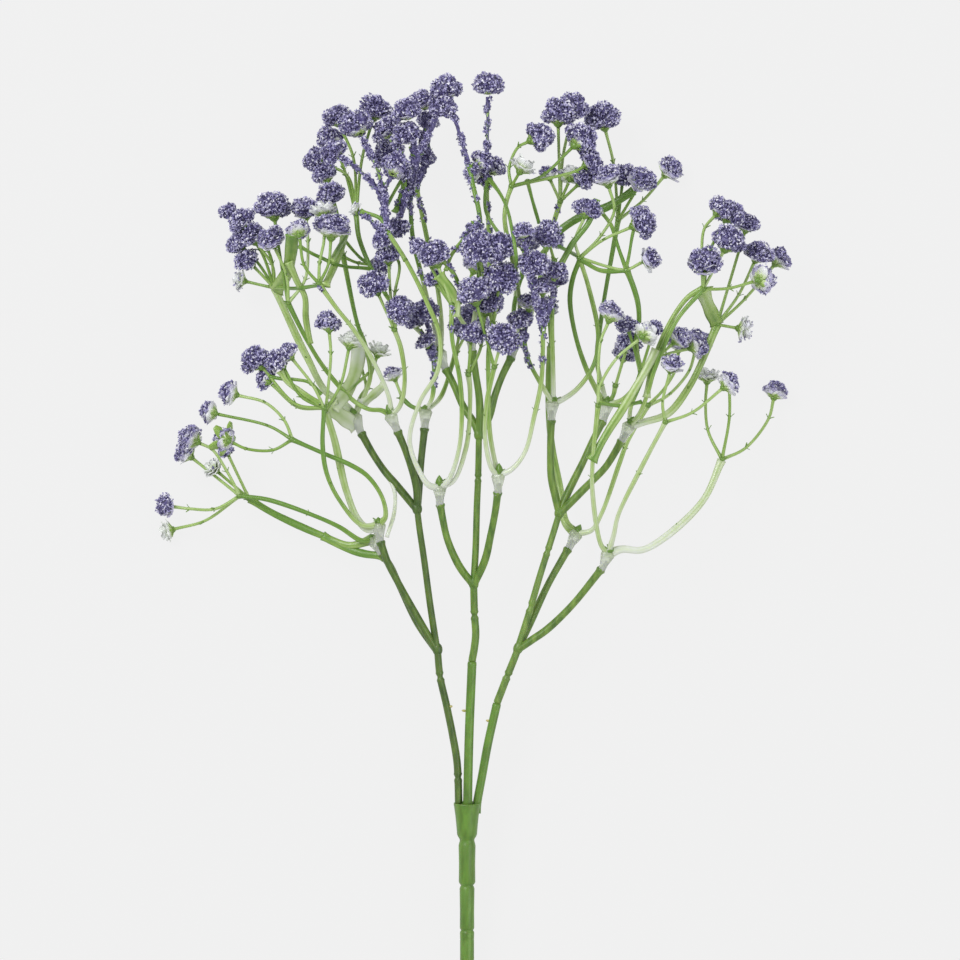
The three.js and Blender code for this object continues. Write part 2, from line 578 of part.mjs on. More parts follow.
        heads: [
          [[92.7, 170.6, 23, 4.4]],
          [[90.5, 182, 25], [97.1, 195.7, 27, 4.9]],
          [[92, 180, 20], [104.3, 194.1, 18, 4.4]],
          [[93.4, 205.7, 21, 4.5]]] },
      { route: [[54.5, 144.5, 32.5], [57.5, 152, 32], [61, 159, 32]],
        heads: [[[70.4, 167.4, 33, 3.9]], [[66, 162, 31], [76.5, 164.7, 30, 4.2]]] },
    ],
  },
];

// A head is a rosette on a funnel, one body with its stalk: PETALS pointed petals round the rim and as many
// raised ones inside, over the gaps. Rings from the rim to the inner petals, in head radii.
const HEAD_FOOT = 0.75; // from the foot of a head to its centre
const HEAD_RINGS = [
  { radius: 1, notch: 0.6, height: 0.06, points: 2 * PETALS, turn: 0 },
  { radius: 0.6, height: 0.6, points: PETALS, turn: 0.5 },
];
const HEAD_MIDDLE = 0.3;
const CALYX = 0.26; // radius of the foot
const NECK = 0.3; // length over which the flower stalk widens to the foot

// Where the flower stalks of a filament run: from its fork past their points to the foot of the head, which
// faces away from the last point before it.
function flowersOf(filament) {
  const route = filament.route.map(point);
  const fork = route[route.length - 1];
  const way = fork.clone().sub(route[route.length - 2]).normalize();
  const start = fork.clone().addScaledVector(way, FORK_GAP);
  return filament.heads.map((places) => {
    const last = places[places.length - 1];
    const radius = last[3] ?? HEAD_RADIUS;
    const centre = point(last);
    const passed = places.slice(0, -1).map(point);
    const before = passed.length ? passed[passed.length - 1] : fork;
    const axis = centre.clone().sub(before).normalize();
    return { start, passed, centre, axis, radius };
  });
}

function makeFlower({ start, passed, centre, axis, radius }, thickness) {
  const along = (height) => centre.clone().addScaledVector(axis, height * radius);
  const stalk = [
    { at: start, radius: Math.max(FORK_RADIUS, thickness) },
    ...passed.map((at) => ({ at, radius: thickness })),
    { at: along(-HEAD_FOOT - NECK), radius: thickness },
    { at: along(-HEAD_FOOT), radius: CALYX * radius },
  ];
  const { rings, across, third } = tubeRings(stalk, FLOWER_STALK_SIDES);
  for (const ring of HEAD_RINGS) {
    const reach = (k) => radius * (ring.notch && k % 2 === 1 ? ring.notch : ring.radius);
    rings.push(ringOf(along(ring.height), across, third, ring.points, ring.turn, reach));
  }
  return skin(rings, along(HEAD_MIDDLE));
}

// The flower stalks and heads of one filament, joined at the fork
function makeBunch(filament) {
  const thickness = filament.coated ? COATED_RADIUS : FLOWER_STALK_RADIUS;
  return join(flowersOf(filament).map((flower) => makeFlower(flower, thickness)));
}

// Distance from the tip of the arm and radius there
const FERRULE_PROFILE = [[0.4, 1.5], [2.3, 2.2], [FERRULE_LENGTH, 1.75]];

function makeSpray(spray, grow = 0) {
  const { end } = armTip(STALKS[spray.stalk].arms[spray.arm]);
  const bud = point(spray.bud);
  const way = bud.clone().sub(end).normalize();
  const budLength = bud.distanceTo(end);
  const section = (distance, radius) => ({ at: end.clone().addScaledVector(way, distance), radius });
  const ferrule = FERRULE_PROFILE.map(([distance, radius]) => section(distance, radius));
  const budShape = [
    section(FERRULE_LENGTH - ROOT_DEPTH, BUD_FOOT_RADIUS),
    section((FERRULE_LENGTH + budLength) / 2, BUD_RADIUS),
    section(budLength, BUD_TIP_RADIUS),
  ];
  const pieces = [tube(ferrule, FERRULE_SIDES, grow), tube(budShape, FILAMENT_SIDES, grow)];
  for (const filament of spray.filaments) {
    const route = [section(FERRULE_LENGTH - ROOT_DEPTH).at, ...filament.route.map(point)];
    const radius = filament.radius ?? FILAMENT_RADIUS;
    const radii = route.map((_, i) => THREE.MathUtils.lerp(radius, FILAMENT_RADIUS, i / (route.length - 1)));
    pieces.push(tube(stations(route, radii), FILAMENT_SIDES, grow));
  }
  return join(pieces);
}

// The spray lies on a surface, so everything below it is cut flat. The block is larger than the spray.
const BLOCK = { width: 400, length: 800, depth: 40 };

function aboveSurface(solid) {
  const block = new THREE.BoxGeometry(BLOCK.width, BLOCK.length, BLOCK.depth);
  block.translate(0, 0, -BLOCK.depth / 2);
  return solid.subtract(solidOfGeometry(block));
}

// Assembly

const parts = [];

function addPart(name, solid, colour, roughness, metalness = 0) {
  const mesh = solid.simplify(SMOOTHING).getMesh();
  const geometry = new THREE.BufferGeometry();
  geometry.setAttribute("position", new THREE.BufferAttribute(new Float32Array(mesh.vertProperties), 3));
  geometry.setIndex(new THREE.BufferAttribute(new Uint32Array(mesh.triVerts), 1));
  const material = new THREE.MeshStandardMaterial({ color: colour, roughness, metalness });
  const part = new THREE.Mesh(geometry, material);
  part.name = name;
  parts.push(part);
}

const stalkFits = join(Object.values(STALKS).map((stalk) => makeStalk(stalk, CLEARANCE)));

addPart("main_stem", largest(aboveSurface(makeMainStem().subtract(makeWire(CLEARANCE)).subtract(stalkFits))),
  COLOURS.stem, 0.55);
addPart("stem_wire", aboveSurface(makeWire()), COLOURS.wire, 0.4, 1);

for (const [name, stalk] of Object.entries(STALKS)) {
  addPart(`stalk_${name}`, makeStalk(stalk), COLOURS.stalk, 0.55);
}

for (const spray of SPRAYS) {
  addPart(spray.name, largest(makeSpray(spray).subtract(stalkFits)), COLOURS.spray, 0.5);
}

// Bunches that touch are one body. They are hollowed where a filament passes through the grains.
const SMALLEST_SCRAP = 20; // cubic millimetres

const bunches = join(SPRAYS.flatMap(({ filaments }) => filaments.map(makeBunch)));
const passing = join([...SPRAYS.map((spray) => makeSpray(spray, CLEARANCE)), stalkFits]);
const clumps = aboveSurface(bunches.subtract(passing)).decompose()
  .filter((clump) => clump.volume() > SMALLEST_SCRAP)
  .sort((a, b) => a.boundingBox().min[0] - b.boundingBox().min[0]);
clumps.forEach((clump, i) => {
  addPart(`blossoms_${String(i + 1).padStart(2, "0")}`, clump, COLOURS.blossom, 0.9);
});

const gypsophila = new THREE.Group();
gypsophila.add(...parts);
const box = new THREE.Box3().setFromObject(gypsophila);
const centre = box.getCenter(new THREE.Vector3());
gypsophila.position.set(-centre.x, -centre.y, -box.min.z);

export default gypsophila;
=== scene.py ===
# Artificial gypsophila spray, lying on a pale table and seen from straight above.
from dataclasses import dataclass, field

import bpy
import numpy as np
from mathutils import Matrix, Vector


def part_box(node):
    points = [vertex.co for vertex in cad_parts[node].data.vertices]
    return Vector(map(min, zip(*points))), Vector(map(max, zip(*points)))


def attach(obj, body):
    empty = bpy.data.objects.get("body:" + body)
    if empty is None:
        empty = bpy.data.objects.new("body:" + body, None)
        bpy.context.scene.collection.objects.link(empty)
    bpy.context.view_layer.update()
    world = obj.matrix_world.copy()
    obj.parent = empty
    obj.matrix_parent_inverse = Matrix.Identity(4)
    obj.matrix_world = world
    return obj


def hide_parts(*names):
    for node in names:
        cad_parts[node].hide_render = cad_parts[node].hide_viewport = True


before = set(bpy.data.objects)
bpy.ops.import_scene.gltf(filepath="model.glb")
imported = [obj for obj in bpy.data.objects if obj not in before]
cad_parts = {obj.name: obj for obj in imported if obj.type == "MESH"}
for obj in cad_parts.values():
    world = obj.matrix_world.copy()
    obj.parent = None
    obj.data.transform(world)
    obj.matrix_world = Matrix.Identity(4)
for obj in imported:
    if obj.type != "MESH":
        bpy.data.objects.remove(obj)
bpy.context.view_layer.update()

# Core wire
# A drawn steel wire inside the moulded stem, seen only where the stem is cut. Its ends give the place of
# the drawing frame, in mm, in which every route below is written: the origin is under the foot of the cup.
MM = 0.001
WIRE_ENDS = (-92.0, 4.0)
WIRE_RADIUS = 0.7
STEM_RADIUS = 2.35
STEM_SINK = 0.6  # depth of the flat on which the cut end of the stem rests
STEM_SLOPE = 0.114  # rise of its axis for each mm from the cut end
UP = np.array([0.0, 0.0, 1.0])

wire_low, wire_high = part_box("stem_wire")
ORIGIN = np.array([
    (wire_low.x + wire_high.x) / 2,
    (wire_low.y + wire_high.y) / 2 - MM * sum(WIRE_ENDS) / 2,
    0.0,
])


def unit(vectors):
    """Vectors divided by their lengths."""
    return vectors / np.linalg.norm(vectors, axis=-1, keepdims=True)


def stem_height(y):
    """Height of the stem's axis at y: a straight line that rises from the cut end."""
    return STEM_RADIUS - STEM_SINK + STEM_SLOPE * (y - WIRE_ENDS[0])


def curve(points, step):
    """Smooth route through points: a centripetal Catmull-Rom spline, with a station about every step."""
    points = np.asarray(points, float)
    spans = np.linalg.norm(np.diff(points, axis=0), axis=1)
    times = np.concatenate([[0], np.cumsum(np.sqrt(spans))])
    widths = np.diff(times)
    slopes = np.diff(points, axis=0) / widths[:, None]
    tangents = np.concatenate([slopes[:1], slopes])
    if len(points) > 2:
        before, after = widths[:-1, None], widths[1:, None]
        tangents[1:-1] = (slopes[:-1] * after + slopes[1:] * before) / (before + after)
    count = max(3, int(spans.sum() / step) + 2)
    lengths = np.concatenate([[0], np.cumsum(spans)])
    at = np.interp(np.linspace(0, lengths[-1], count), lengths, times)
    span = np.clip(np.searchsorted(times, at, side="right") - 1, 0, len(widths) - 1)
    width = widths[span][:, None]
    s = ((at - times[span]) / widths[span])[:, None]
    return ((2 * s**3 - 3 * s**2 + 1) * points[span] + (s**3 - 2 * s**2 + s) * width * tangents[span]
            + (3 * s**2 - 2 * s**3) * points[span + 1] + (s**3 - s**2) * width * tangents[span + 1])


def sweep(path, wide, deep, sides, ribs=0.0):
    """Profile carried along a path: an ellipse, wide across the view from above and deep along it, whose
    radius is multiplied by 1 + ribs * cos(4 * angle). Returns one row of points for each station."""
    way = unit(np.gradient(path, axis=0))
    across = unit(np.cross(way, UP + 1e-4))
    over = np.cross(across, way)
    angle = 2 * np.pi * np.arange(sides) / sides
    swell = 1 + ribs * np.cos(4 * angle)
    wide = np.broadcast_to(wide, len(path))[:, None, None]
    deep = np.broadcast_to(deep, len(path))[:, None, None]
    return (path[:, None] + wide * (swell * np.cos(angle))[:, None] * across[:, None]
            + deep * (swell * np.sin(angle))[:, None] * over[:, None])


def skin(rows, tone=0.5):
    """Closed surfaces over batches of rows of points, one batch for each surface: quads between rows, and a
    fan to the middle of the first and the last row. Returns points, quads, triangles and tones."""
    rows = rows.reshape((-1,) + rows.shape[-3:])
    batch, count, sides = rows.shape[:3]
    ends = np.stack([rows[:, 0].mean(axis=1), rows[:, -1].mean(axis=1)], axis=1)
    points = np.concatenate([rows.reshape(batch, -1, 3), ends], axis=1)
    i, j = np.meshgrid(np.arange(count - 1), np.arange(sides), indexing="ij")
    here, beside = i * sides + j, i * sides + (j + 1) % sides
    quads = np.stack([here, here + sides, beside + sides, beside], axis=-1).reshape(-1, 4)
    rim = np.arange(sides)
    next_rim = (rim + 1) % sides
    first = np.stack([np.full(sides, count * sides), rim, next_rim], axis=-1)
    last_row = (count - 1) * sides
    last = np.stack([np.full(sides, count * sides + 1), last_row + next_rim, last_row + rim], axis=-1)
    fans = np.concatenate([first, last])
    start = (np.arange(batch) * points.shape[1])[:, None, None]
    tones = np.broadcast_to(tone, rows.shape[:3])
    end_tones = np.stack([tones[:, 0].mean(axis=1), tones[:, -1].mean(axis=1)], axis=1)
    tones = np.concatenate([tones.reshape(batch, -1), end_tones], axis=1)
    return (points.reshape(-1, 3), (quads + start).reshape(-1, 4), (fans + start).reshape(-1, 3),
            tones.reshape(-1))


def make_piece(name, surfaces, material, nodes=(), smooth=True):
    """One mesh from surfaces in the drawing frame. What would dip below the table is laid on it. The piece
    rides on the object's only body, and stands for the CAD nodes that are named."""
    points, quads, triangles, tones = [], [], [], []
    start = 0
    for surface in surfaces:
        points.append(surface[0])
        quads.append(surface[1] + start)
        triangles.append(surface[2] + start)
        tones.append(surface[3])
        start += len(surface[0])
    points = np.concatenate(points) * MM + ORIGIN
    points[:, 2] = np.maximum(points[:, 2], 0)
    quads = np.concatenate(quads)
    triangles = np.concatenate(triangles)
    mesh = bpy.data.meshes.new(name)
    mesh.vertices.add(len(points))
    mesh.vertices.foreach_set("co", points.astype(np.float32).ravel())
    corners = np.concatenate([quads.ravel(), triangles.ravel()])
    mesh.loops.add(len(corners))
    mesh.loops.foreach_set("vertex_index", corners.astype(np.int32))
    mesh.polygons.add(len(quads) + len(triangles))
    starts = np.concatenate([4 * np.arange(len(quads)), quads.size + 3 * np.arange(len(triangles))])
    mesh.polygons.foreach_set("loop_start", starts.astype(np.int32))
    mesh.update(calc_edges=True)
    mesh.validate()
    mesh.polygons.foreach_set("use_smooth", np.full(len(mesh.polygons), smooth))
    tone = mesh.attributes.new("tone", "FLOAT", "POINT")
    tone.data.foreach_set("value", np.concatenate(tones).astype(np.float32))
    mesh.materials.append(material)
    piece = bpy.data.objects.new(name, mesh)
    bpy.context.scene.collection.objects.link(piece)
    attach(piece, "root")
    if nodes:
        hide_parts(*nodes)


def colour(code):
    """sRGB hex code as linear red, green, blue and alpha."""
    values = [int(code[i:i + 2], 16) / 255 for i in (1, 3, 5)]
    return tuple(v / 12.92 if v <= 0.04045 else ((v + 0.055) / 1.055) ** 2.4 for v in values) + (1.0,)


def new_material(name, code, roughness, **sockets):
    """Material of one principled shader with its constant values, and that shader."""
    material = bpy.data.materials.new(name)
    material.use_nodes = True
    shader = material.node_tree.nodes["Principled BSDF"]
    shader.inputs["Base Color"].default_value = colour(code)
    shader.inputs["Roughness"].default_value = roughness
    for socket, value in sockets.items():
        shader.inputs[socket.replace("_", " ")].default_value = value
    return material, shader


def add_node(material, kind, links=(), **settings):
    """Shader node with its settings. A setting is an attribute of the node, or else one of its inputs. Each
    link is an output of another node and the name of the input that it feeds."""
    node = material.node_tree.nodes.new("ShaderNode" + kind)
    for name, value in settings.items():
        if hasattr(node, name):
            setattr(node, name, value)
        else:
            node.inputs[name.replace("_", " ")].default_value = value
    for output, name in links:
        material.node_tree.links.new(output, node.inputs[name])
    return node


def add_ramp(material, output, stops):
    """Colour ramp fed by an output. Stops are places and hex codes."""
    ramp = add_node(material, "ValToRGB", [(output, "Fac")])
    elements = ramp.color_ramp.elements
    while len(elements) < len(stops):
        elements.new(0.5)
    for element, (place, code) in zip(elements, stops):
        element.position = place
        element.color = colour(code)
    return ramp.outputs["Color"]


def feed(material, output, node, name):
    """Link from an output to a named input of a node."""
    material.node_tree.links.new(output, node.inputs[name])


def drawn_steel():
    """Drawn steel wire, cut off square: grey, with fine lines along it from the die."""
    material, shader = new_material("drawn_steel", "#9c9c9a", 0.32, Metallic=1.0)
    place = add_node(material, "TexCoord").outputs["Object"]
    stretched = add_node(material, "Mapping", [(place, "Vector")], Scale=(6.0, 0.3, 6.0))
    lines = add_node(material, "TexNoise", [(stretched.outputs["Vector"], "Vector")], Scale=900.0)
    bump = add_node(material, "Bump", [(lines.outputs["Fac"], "Height")], Strength=0.3, Distance=0.0001)
    feed(material, bump.outputs["Normal"], shader, "Normal")
    return material


wire_y = np.linspace(*WIRE_ENDS, 24)
wire_path = np.stack([0 * wire_y, wire_y, stem_height(wire_y)], axis=-1)
make_piece("core_wire", [skin(sweep(wire_path, WIRE_RADIUS, WIRE_RADIUS, 20))],
           drawn_steel(), ["stem_wire"])

# Main stem
# One polyethylene moulding: a shaft with waists between its straight lengths, a cup, and two sleeves that
# rise out of the cup and have a cut lip. Small nubs are left where the plastic entered the mould.
STEM_PROFILE = [  # distance along the stem and radius
    (-92, 2.3), (-91.7, 2.35), (-76.5, 2.35), (-76.1, 2.25), (-75.8, 2.05), (-75.5, 2.25), (-75.1, 2.35),
    (-61.5, 2.35), (-61.1, 2.25), (-60.8, 2.05), (-60.5, 2.25), (-60.1, 2.35),
    (-46.5, 2.35), (-46.1, 2.25), (-45.8, 2.05), (-45.5, 2.25), (-45.1, 2.35),
    (-33.7, 2.35), (-33.4, 2.28), (-33.1, 2.35), (-31.2, 2.4), (-30.7, 2.3), (-30.3, 2.0), (-29.9, 2.3),
    (-29.4, 2.42), (-24, 2.38), (-16.4, 2.5), (-15.8, 2.35), (-15.2, 2.05), (-14.7, 2.5), (-14.1, 2.78),
    (-8, 2.72), (-1.9, 2.85), (-1.2, 2.7), (-0.3, 2.45), (0.3, 2.5), (1.2, 3.1), (1.9, 3.35),
    (5, 3.6), (8, 3.9), (11.2, 4.35), (12, 4.5), (12.4, 4.42), (12.4, 4.1), (11.9, 3.9), (11.2, 3.6),
]
SLEEVES = [  # route and radius
    ([(0.2, 9, 14.2), (0.2, 12, 15), (0.7, 35, 17.4), (1.7, 59.7, 20.2)], 1.5),
    ([(3, 9, 12.8), (3.3, 12, 13), (5, 21.3, 14.2), (7, 32.3, 15.6), (10, 45.7, 17.4)], 1.42),
]
SLEEVE_FLARE = 0.16  # at the root of a sleeve, in shares of its radius
SLEEVE_LIP = 0.14
LIP_EDGE = 0.86  # its last ring against the one before
NUBS = [((-6.1, 44.6, 17.6), (-4.8, 44.8, 17.8)), ((-0.2, 43.2, 18.3), (-1.8, 43.4, 18.5)),
        ((7.7, 39.7, 16.7), (6.3, 40.1, 16.9))]
NUB_RADIUS = 0.45


def moulded_polyethylene(name, deep, light, flow):
    """Polyethylene moulded in green: a soft sheen, slightly cloudy where the melt flowed along the stem,
    with light passing into the surface. Flow is the length of a cloud in mm."""
    material, shader = new_material(name, light, 0.42, Subsurface_Weight=0.12, Subsurface_Scale=0.002,
                                    IOR=1.51, Coat_Weight=0.12, Coat_Roughness=0.3)
    place = add_node(material, "TexCoord").outputs["Object"]
    stretched = add_node(material, "Mapping", [(place, "Vector")], Scale=(4.0, 1.0, 4.0))
    clouds = add_node(material, "TexNoise", [(stretched.outputs["Vector"], "Vector")],
                      Scale=1 / (flow * MM), Detail=3.0)
    tint = add_ramp(material, clouds.outputs["Fac"], [(0.32, deep), (0.68, light)])
    feed(material, tint, shader, "Base Color")
    grain = add_node(material, "TexNoise", [(place, "Vector")], Scale=1 / (0.6 * MM), Detail=2.0)
    bump = add_node(material, "Bump", [(grain.outputs["Fac"], "Height")], Strength=0.25, Distance=0.0001)
    feed(material, bump.outputs["Normal"], shader, "Normal")
    return material


def bead(start, end, radius, tone=0.5):
    """Small rounded bead between two points: the radius follows half a turn of a sine."""
    start, end = np.array(start, float), np.array(end, float)
    share = np.linspace(0.02, 0.98, 8)
    path = start + (end - start) * share[:, None]
    swell = radius * np.sqrt(np.sin(np.pi * share))
    return skin(sweep(path, swell, swell, 10), tone)


stem_y, stem_radius = np.array(STEM_PROFILE, float).T
stem_path = np.stack([0 * stem_y, stem_y, stem_height(stem_y)], axis=-1)
stem_way = unit(np.array([0.0, 1.0, STEM_SLOPE]))
stem_across = np.array([1.0, 0.0, 0.0])
stem_over = np.cross(stem_across, stem_way)
stem_angle = np.linspace(0, 2 * np.pi, 40, endpoint=False)[:, None]
stem_ring = np.cos(stem_angle) * stem_across + np.sin(stem_angle) * stem_over
stem_surfaces = [skin(stem_path[:, None] + stem_radius[:, None, None] * stem_ring)]
for route, radius in SLEEVES:
    path = curve(route, 0.8)
    share = np.linspace(0, 1, len(path))
    thick = radius * (1 + SLEEVE_FLARE * np.exp(-share / 0.06))
    thick = thick + SLEEVE_LIP * np.exp(-((1 - share) / 0.015) ** 2)
    thick[-1] *= LIP_EDGE
    stem_surfaces.append(skin(sweep(path, thick, 0.92 * thick, 24)))
make_piece("stem_moulding", stem_surfaces,
           moulded_polyethylene("moulded_green_pe", "#507225", "#689133", flow=9.0), ["main_stem"])
make_piece("mould_nubs", [bead(start, end, NUB_RADIUS) for start, end in NUBS],
           moulded_polyethylene("scorched_pe", "#a9a55c", "#c6bf82", flow=2.0))

# Stalks
# Three deep green mouldings with the same forks, pushed into the cup and its sleeves. Each has a step where
# two halves of the mould met, webs in its forks, and a cut shoulder under each of its five tips.
STALKS = {  # routes: of the foot inside the cup or a sleeve, of the trunks, and of the arms with the tips
    "left": {
        "foot": [(-2.8, 4, 12.9), (-2.8, 11.9, 13.8)],
        "trunks": [
            [(-2.8, 12.6, 13.9), (-3.3, 25.7, 15.3), (-4.8, 35, 16.4), (-6.9, 45.3, 17.5),
             (-9, 54.7, 18.6), (-9.9, 64.3, 19.8)],
            [(-9.9, 63, 19.7), (-12.3, 78.7, 21), (-14.3, 93.7, 22.2), (-16, 105.3, 23),
             (-16.7, 111.3, 23.4)],
        ],
        "arms": [
            [(-9.9, 63, 19.6), (-16.7, 73, 18.5), (-22.8, 85.6, 17.5), (-25.5, 91.3, 17.2),
             (-28.7, 96, 17)],
            [(-9.9, 63, 19.6), (-16, 73.5, 21.8), (-22.9, 86, 23.6), (-26.4, 92.8, 24.4),
             (-29, 100.2, 25)],
            [(-16.6, 110.3, 23.3), (-23.8, 119, 22.3), (-27.5, 123.3, 21.6), (-31.6, 129.4, 20.7),
             (-35.5, 136.4, 20)],
            [(-16.6, 110.3, 23.3), (-16.8, 117.7, 25), (-20.3, 129.7, 28.4), (-23.3, 137, 30)],
            [(-16.6, 110.3, 23.3), (-15.5, 124.7, 23.4), (-14.1, 138, 24)],
        ],
    },
    "middle": {
        "foot": [(1.4, 51, 19.2), (1.7, 59.9, 20.2)],
        "trunks": [
            [(1.75, 60.4, 20.3), (2.4, 64, 20.8), (2.9, 69, 21.6), (2.5, 75.3, 22.6), (2.2, 86.3, 25)],
            [(2.2, 85.2, 24.9), (2.9, 97.7, 25.6), (3.3, 111.7, 26.4), (3.7, 121, 27), (4, 136, 28)],
        ],
        "arms": [
            [(2.2, 85.2, 25), (-2.6, 91.7, 26.8), (-6.4, 100.2, 29), (-8, 107, 31), (-9, 112.7, 33)],
            [(2.2, 85.2, 25), (6, 93.7, 27.4), (7.8, 101.5, 30), (9.4, 109.8, 33), (10.3, 116.7, 36)],
            [(4, 135, 28), (2.7, 138.7, 27.4), (-1.3, 145, 26), (-4.5, 152.3, 24.8), (-7.3, 157.7, 24)],
            [(4, 135, 28), (4.3, 141.3, 29), (4, 148.3, 30.4), (3, 155, 31.6), (1.7, 163.7, 33)],
            [(4, 135, 28), (7.3, 141.3, 27.6), (9.3, 148.5, 27), (11.8, 155.2, 26.4), (15, 161.7, 26)],
        ],
    },
    "right": {
        "foot": [(7.8, 36.5, 16.1), (10, 45.8, 17.4)],
        "trunks": [
            [(10.2, 46.4, 17.5), (11.7, 50.3, 18), (13.5, 55, 18.6), (16, 61.3, 19.6), (17.3, 64.7, 20)],
            [(16.8, 63.6, 19.9), (20.7, 76, 20.8), (24.3, 88.3, 21.4), (29, 103.3, 22.2),
             (31, 110, 22.5)],
        ],
        "arms": [
            [(16.8, 63.6, 19.9), (21.5, 73.6, 18.4), (27, 85.3, 16.6), (31.7, 93.7, 15.4),
             (34, 97.7, 15)],
            [(16.8, 63.6, 19.9), (21.7, 67, 21.5), (26.8, 70.6, 23), (35.1, 78.7, 26), (45, 91, 30.4)],
            [(30.8, 109, 22.5), (29.5, 114.7, 23.2), (28.1, 121.3, 24.2), (27.8, 130, 25.6),
             (28.1, 140.7, 27.4)],
            [(30.8, 109, 22.5), (33, 114.7, 21.6), (38.7, 126.3, 19.2), (41.3, 132, 18.2),
             (45.5, 140.3, 17)],
            [(30.8, 109, 22.5), (38, 116.3, 24.6), (42, 120.3, 26), (46.2, 124.7, 27.8),
             (51.7, 133.7, 31)],
        ],
    },
}
SPIGOT_RADIUS = 0.65  # of what is hidden in the cup, in a sleeve or in a neck
STALK_RADIUS = 1.25
TRUNK_TAPER = 0.15  # from a trunk to the next
POINT_TAPER = 0.02  # along a trunk, for each of its points
ARM_RADIUS = 1.15
SHOULDER = 0.3  # by which an arm swells under its tip
SHOULDER_EDGE = 0.8  # the last ring of an arm against the one before
SPIGOT = np.array([[0.05], [1.0], [3.0]])  # its stations past the tip
WEB_REACH = 2.3  # of the web in a fork, to each side of it
WEB_RADIUS = 1.35 * STALK_RADIUS
STEPS = {
    "left": [(-8.7, 54.7), (-2.9, 21)],
    "middle": [(2.5, 75.3), (3.7, 121)],
    "right": [(13.5, 55), (22, 77.7), (26.7, 96.7)],
}
STEP_DEPTH = 0.22  # of the groove, in shares of the radius, and the rise of its edges
STEP_EDGE = 0.12
STEP_WIDTH = 0.35
STEP_NEAR = 1.5  # a step is on the routes that pass it as closely as this
STALK_GREENS = {
    "left": ("#3b5520", "#607a31"),
    "middle": ("#4d6f28", "#77973c"),
    "right": ("#52722c", "#7b9941"),
}


def stalk_swell(path, steps):
    """Factor on a stalk's radius: 1, less a narrow bell curve at each mould step, plus a lower one beside
    it."""
    factor = np.ones(len(path))
    for x, y in steps:
        apart = np.linalg.norm(path[:, :2] - (x, y), axis=1)
        nearest = apart.min()
        if nearest < STEP_NEAR:
            along = apart - nearest
            factor += (STEP_EDGE * np.exp(-((along - 0.9) / STEP_WIDTH) ** 2)
                       - STEP_DEPTH * np.exp(-(along / STEP_WIDTH) ** 2))
    return factor


for side, stalk in STALKS.items():
    surfaces = []
    for order, route in enumerate(stalk["trunks"]):
        points = stalk["foot"] + route if order == 0 else route
        path = curve(points, 0.5)
        share = np.linspace(0, 1, len(path))
        thick = STALK_RADIUS - TRUNK_TAPER * order - POINT_TAPER * len(route) * share
        if order == 0:
            inside = np.linalg.norm(path - np.array(route[0]), axis=1) < 0.5
            thick[:max(1, int(np.argmax(inside)))] = SPIGOT_RADIUS
        thick = thick * stalk_swell(path, STEPS[side])
        surfaces.append(skin(sweep(path, thick, 0.9 * thick, 20, ribs=0.05)))
        fork = path[-2]
        reach = np.linspace(-1.6, 2.2, 12)[:, None]
        way = unit(path[-1] - path[-4])
        web = WEB_RADIUS * np.sqrt(np.clip(1 - (reach[:, 0] / WEB_REACH) ** 2, 0.02, 1))
        surfaces.append(skin(sweep(fork + reach * way, web, 0.75 * web, 16)))
    for route in stalk["arms"]:
        path = curve(route, 0.5)
        share = np.linspace(0, 1, len(path))
        left = np.linalg.norm(path - path[-1], axis=1)
        thick = ARM_RADIUS * (1 + 0.06 * np.sin(7 * share)) + SHOULDER * np.exp(-((left - 0.8) / 0.7) ** 2)
        thick[-1] *= SHOULDER_EDGE
        path = np.concatenate([path, path[-1] + SPIGOT * unit(path[-1] - path[-2])])
        thick = np.concatenate([thick, np.full(len(SPIGOT), SPIGOT_RADIUS)])
        surfaces.append(skin(sweep(path, thick, 0.88 * thick, 18, ribs=0.07)))
    make_piece(f"forked_stalk_{side}", surfaces,
               moulded_polyethylene(f"moulded_deep_green_pe_{side}", *STALK_GREENS[side], flow=7.0),
               [f"stalk_{side}"])

# Sprays
# On each tip sits one thin moulding of translucent polyethylene: a funnel-shaped neck, a small bud, and
# two or three filaments that bow out of the neck and fork into flower stalks, each with its head.
BAND = 1.1  # half width of a filament that is a flat band
USUAL_RADIUS = 5.0  # of a head


@dataclass
class Flower:
    """Flower stalk: the middle of its head, the points that it passes on the way there, the radius of the
    head, how bare of grains the head is, how far it tilts towards the viewer or, below 0, away, and how
    large its sepals are against the usual ones."""
    head: tuple
    past: list = field(default_factory=list)
    radius: float = USUAL_RADIUS
    bare: float = 0.06
    tilt: float = None
    leafy: float = 1.0


@dataclass
class Filament:
    """Thin stem from the neck of a spray to its fork, with the flower stalks there. They carry grains if it
    is coated, and so does the share of its own length that grains gives, down from the fork. Tones are how
    green it is next to the neck and at the fork, where that is known."""
    route: list
    flowers: list = field(default_factory=list)
    wide: float = 0.7
    coated: bool = False
    grains: float = 0.0
    tones: tuple = ()


@dataclass
class Spray:
    """Tip of the arm that it sits on, tip of its bud, and its filaments."""
    name: str
    tip: tuple
    bud: tuple
    filaments: list


